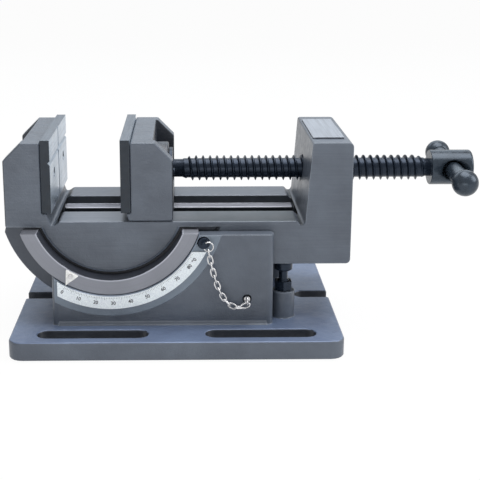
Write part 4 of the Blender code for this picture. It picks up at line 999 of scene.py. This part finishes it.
def screw_hub(black):
    """The turned hub, with the bar's hole and its two widened mouths."""
    start, end = low("screw_hub").x, high("screw_hub").x
    profile = [(0, start)]
    profile += rounded_end(HUB_R, start, HUB_EDGE_R, 1)
    profile += rounded_end(HUB_R, end, HUB_END_R, -1)
    profile += [(0, end)]
    hub = new_object("screw_hub_turned", turned(profile, UP * SCREW_Z, RIGHT), black)
    hole_r = BAR_R + BAR_PLAY
    hole = [(0, -HUB_R * 2), (hole_r, -HUB_R * 2), (hole_r, HUB_R * 2), (0, HUB_R * 2)]
    cut(hub, turned(hole, BAR_MID, BAR_WAY, SMALL_SIDES))
    widening = (BAR_MOUTH_R - BAR_R - BAR_PLAY) / BAR_MOUTH_DEPTH
    inner = HUB_R - BAR_MOUTH_DEPTH - CUT_OVERRUN
    outer = HUB_R + CUT_OVERRUN
    mouth = [
        (0, inner), (hole_r - widening * CUT_OVERRUN, inner), (BAR_MOUTH_R + widening * CUT_OVERRUN, outer),
        (0, outer),
    ]
    for way in (BAR_WAY, -BAR_WAY):
        cut(hub, turned(mouth, BAR_MID, way, SMALL_SIDES))
    flat_normals(hub)
    settle(hub, "screw", "black_oxide_steel", "screw_hub")


def handle(black):
    """The sliding bar, and on each end a ball with a mouth that takes it."""
    half = (high("handle_bar").y - low("handle_bar").y) / 2 / cos(BAR_TILT) - BAR_R * sin(BAR_TILT)
    profile = [(0, -half), (BAR_R, -half), (BAR_R, half), (0, half)]
    bar = new_object("handle_bar_turned", turned(profile, BAR_MID, BAR_WAY), black)
    settle(bar, "handle", "black_oxide_steel", "handle_bar")
    mouth_r = BAR_R + BALL_PLAY
    mouth = asin(mouth_r / BALL_R)
    inner = BALL_R * cos(mouth)
    profile = [(0, -inner / 2), (mouth_r, -inner / 2)]
    for i in range(SMALL_SIDES):
        turn = mouth + (pi - mouth) * i / SMALL_SIDES
        profile.append((BALL_R * sin(turn), -BALL_R * cos(turn)))
    profile.append((0, BALL_R))
    for node, way in (("handle_ball_front", BAR_WAY), ("handle_ball_rear", -BAR_WAY)):
        ball = new_object(f"{node}_turned", turned(profile, BAR_MID + way * BALL_SPREAD, way), black)
        settle(ball, "handle", "black_oxide_steel", node)


# Scale's print
def tick(turn, length):
    """A thin block across the scale, at a turn about the tilt axis."""
    builder = bmesh.new()
    inner = SCALE_R + TICK_GAP
    outer = inner + length
    face = SCALE_Y - TICK_THICK
    half = TICK_WIDTH / 2 / inner
    ends = []
    for side in (turn - half, turn + half):
        corners = ((inner, SCALE_Y), (outer, SCALE_Y), (outer, face), (inner, face))
        places = [(PIVOT_X + radius * cos(side), y, PIVOT_Z + radius * sin(side)) for radius, y in corners]
        ends.append([builder.verts.new(place) for place in places])
    before, after = ends
    for k in range(len(before)):
        next_k = (k + 1) % len(before)
        builder.faces.new((before[k], before[next_k], after[next_k], after[k]))
    builder.faces.new(before)
    builder.faces.new(after[::-1])
    bmesh.ops.recalc_face_normals(builder, faces=builder.faces)
    return builder


def number(value, turn):
    """A plain number on the scale, upright at a turn about the tilt axis."""
    text = bpy.data.curves.new("number", "FONT")
    text.body = str(value)
    text.size = NUMBER_HEIGHT
    text.extrude = TICK_THICK / 2
    text.offset = NUMBER_BOLD
    text.align_x = "CENTER"
    text.align_y = "CENTER"
    shape = bpy.data.objects.new("number", text)
    bpy.context.scene.collection.objects.link(shape)
    bpy.context.view_layer.update()
    graph = bpy.context.evaluated_depsgraph_get()
    mesh = bpy.data.meshes.new_from_object(shape.evaluated_get(graph))
    bpy.data.objects.remove(shape, do_unlink=True)
    builder = bmesh.new()
    builder.from_mesh(mesh)
    place = (
        Matrix.Translation(PIVOT)
        @ Matrix.Rotation(-(turn + pi / 2), 4, "Y")
        @ Matrix.Translation((0, SCALE_Y - TICK_THICK / 2, -NUMBER_R))
        @ Matrix.Rotation(pi / 2, 4, "X")
    )
    bmesh.ops.transform(builder, matrix=place, verts=builder.verts)
    bmesh.ops.remove_doubles(builder, verts=builder.verts, dist=FINE_WELD)
    return builder


def scale_print(black):
    """The degree ticks that lie on the scale plate, and their plain numbers.

    The plate ends at its 88th degree, so the last number stands short of its line, as in the photo.
    """
    plate_end = high("scale_plate").z - TICK_WIDTH
    ticks = []
    for degree in range(SCALE_DEGREES + 1):
        length = TICK_SHORT
        if degree % MIDDLE_TICK_DEGREES == 0:
            length = TICK_MIDDLE
        if degree % LONG_TICK_DEGREES == 0:
            length = TICK_LONG
        turn = SCALE_ZERO + degree * SCALE_STEP
        if PIVOT_Z + (SCALE_R + TICK_GAP) * sin(turn) <= plate_end:
            ticks.append(tick(turn, length))
    numbers = []
    for degree in range(0, SCALE_DEGREES + 1, LONG_TICK_DEGREES):
        turn = SCALE_ZERO + min(degree, LAST_NUMBER_DEGREE) * SCALE_STEP
        numbers.append(number(degree, turn))
    for name, builders in (("scale_ticks", ticks), ("scale_numbers", numbers)):
        settle(new_object(name, gather(builders), black), "base", "scale_aluminium")


# Chain and its ring
def chain_link(centre, along, side):
    """One chain link: an oval loop of wire, a little fuller than an ellipse."""
    half_long = LINK_LENGTH / 2 - LINK_WIRE_R
    half_wide = LINK_WIDTH / 2 - LINK_WIRE_R
    points = []
    for i in range(LINK_STEPS * 2):
        turn = pi * i / LINK_STEPS
        reach = copysign(abs(cos(turn)) ** LINK_OVAL_SHARE, cos(turn)) * half_long
        aside = copysign(abs(sin(turn)) ** LINK_OVAL_SHARE, sin(turn)) * half_wide
        points.append(centre + along * reach + side * aside)
    return tube(points, LINK_WIRE_R)


def chain(zinc):
    """The keeper chain between the wall and the pin."""
    nodes = sorted(name for name in frame["nodes"] if name.startswith("chain_link_"))
    centres = [middle(node) for node in nodes]
    links = []
    for i, centre in enumerate(centres):
        before, after = centres[max(i - 1, 0)], centres[min(i + 1, len(centres) - 1)]
        along = (after - before).normalized()
        level = along.cross(UP).normalized()
        side = level if i % 2 == 0 else level.cross(along).normalized()
        links.append(chain_link(centre, along, side))
    loops = new_object("pin_chain", gather(links), zinc)
    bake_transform(loops)
    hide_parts(*nodes)


def split_ring(zinc):
    """The ring through the pin's stem: two turns of wire, side by side."""
    centre = middle("pin_ring")
    count = RING_STEPS * RING_TURNS
    points = []
    for i in range(count + 1):
        turn = 2 * pi * i / RING_STEPS
        aside = (2 * i / count - 1) * RING_WIRE_R
        points.append(centre + Vector((RING_R * cos(turn), aside, RING_R * sin(turn))))
    ring = new_object("pin_split_ring", tube(points, RING_WIRE_R, closed=False), zinc)
    settle(ring, "index_pin", "bright_zinc", "pin_ring")


# Studio
def camera():
    data = bpy.data.cameras.new("camera")
    data.lens = LENS_SHARE * data.sensor_width
    data.shift_x, data.shift_y = CAMERA_SHIFT
    data.clip_start = CAMERA_NEAR
    obj = bpy.data.objects.new("camera", data)
    obj.location = CAMERA_PLACE
    obj.rotation_euler = (pi / 2 - CAMERA_PITCH, 0, CAMERA_YAW)
    bpy.context.scene.collection.objects.link(obj)
    bpy.context.scene.camera = obj


def floor():
    """A pale floor that the camera and glossy faces see as nearly white, with the object's shadow."""
    m = Nodes("floor_white", FLOOR_COLOUR, FLOOR_ROUGHNESS, 0)
    path = m.add("ShaderNodeLightPath")
    seen = m.math("MAXIMUM", path.outputs["Is Camera Ray"], path.outputs["Is Glossy Ray"])
    glow = m.add("ShaderNodeEmission")
    glow.inputs["Color"].default_value = (*WHITE, 1)
    glow.inputs["Strength"].default_value = FLOOR_GLOW
    blend = m.add("ShaderNodeMixShader")
    m.link(m.math("MULTIPLY", seen, FLOOR_GLOW_SHARE), blend.inputs["Fac"])
    m.link(m.shader.outputs["BSDF"], blend.inputs[1])
    m.link(glow.outputs["Emission"], blend.inputs[2])
    m.link(blend.outputs["Shader"], m.tree.nodes["Material Output"].inputs["Surface"])
    builder = bmesh.new()
    bmesh.ops.create_grid(builder, x_segments=2, y_segments=2, size=FLOOR_HALF)
    bmesh.ops.translate(builder, verts=builder.verts, vec=UP * (CAD_LOW.z - FLOOR_DROP))
    new_object("floor", builder, m.material)


def area_light(name, place, target, size, watts, colour):
    data = bpy.data.lights.new(name, "AREA")
    data.shape = "RECTANGLE"
    data.size, data.size_y = size
    data.energy = watts
    data.color = colour
    obj = bpy.data.objects.new(name, data)
    obj.location = place
    obj.rotation_euler = (Vector(target) - Vector(place)).to_track_quat("-Z", "Y").to_euler()
    bpy.context.scene.collection.objects.link(obj)


def world():
    """A dim sky that is white to the camera, and in part to glossy faces."""
    scene = bpy.context.scene
    scene.view_settings.view_transform = "Standard"
    scene.world = bpy.data.worlds.new("studio")
    scene.world.use_nodes = True
    tree = scene.world.node_tree
    sky = tree.nodes["Background"]
    backdrop = tree.nodes.new("ShaderNodeBackground")
    for node, strength in ((sky, SKY_STRENGTH), (backdrop, BACKDROP_STRENGTH)):
        node.inputs["Color"].default_value = (*WHITE, 1)
        node.inputs["Strength"].default_value = strength
    path = tree.nodes.new("ShaderNodeLightPath")
    glossy = tree.nodes.new("ShaderNodeMath")
    glossy.operation = "MULTIPLY"
    glossy.inputs[1].default_value = GLOSSY_SHARE
    seen = tree.nodes.new("ShaderNodeMath")
    seen.operation = "MAXIMUM"
    blend = tree.nodes.new("ShaderNodeMixShader")
    tree.links.new(path.outputs["Is Glossy Ray"], glossy.inputs[0])
    tree.links.new(path.outputs["Is Camera Ray"], seen.inputs[0])
    tree.links.new(glossy.outputs["Value"], seen.inputs[1])
    tree.links.new(seen.outputs["Value"], blend.inputs["Fac"])
    tree.links.new(sky.outputs["Background"], blend.inputs[1])
    tree.links.new(backdrop.outputs["Background"], blend.inputs[2])
    tree.links.new(blend.outputs["Shader"], tree.nodes["World Output"].inputs["Surface"])


def build():
    finishes = make_finishes()
    castings(finishes)
    small_pieces(finishes)
    lead_screw(finishes["black"])
    screw_hub(finishes["hub"])
    handle(finishes["hub"])
    scale_print(finishes["ink"])
    chain(finishes["zinc"])
    split_ring(finishes["zinc"])
    camera()
    floor()
    world()
    for light in LIGHTS:
        area_light(*light)


build()
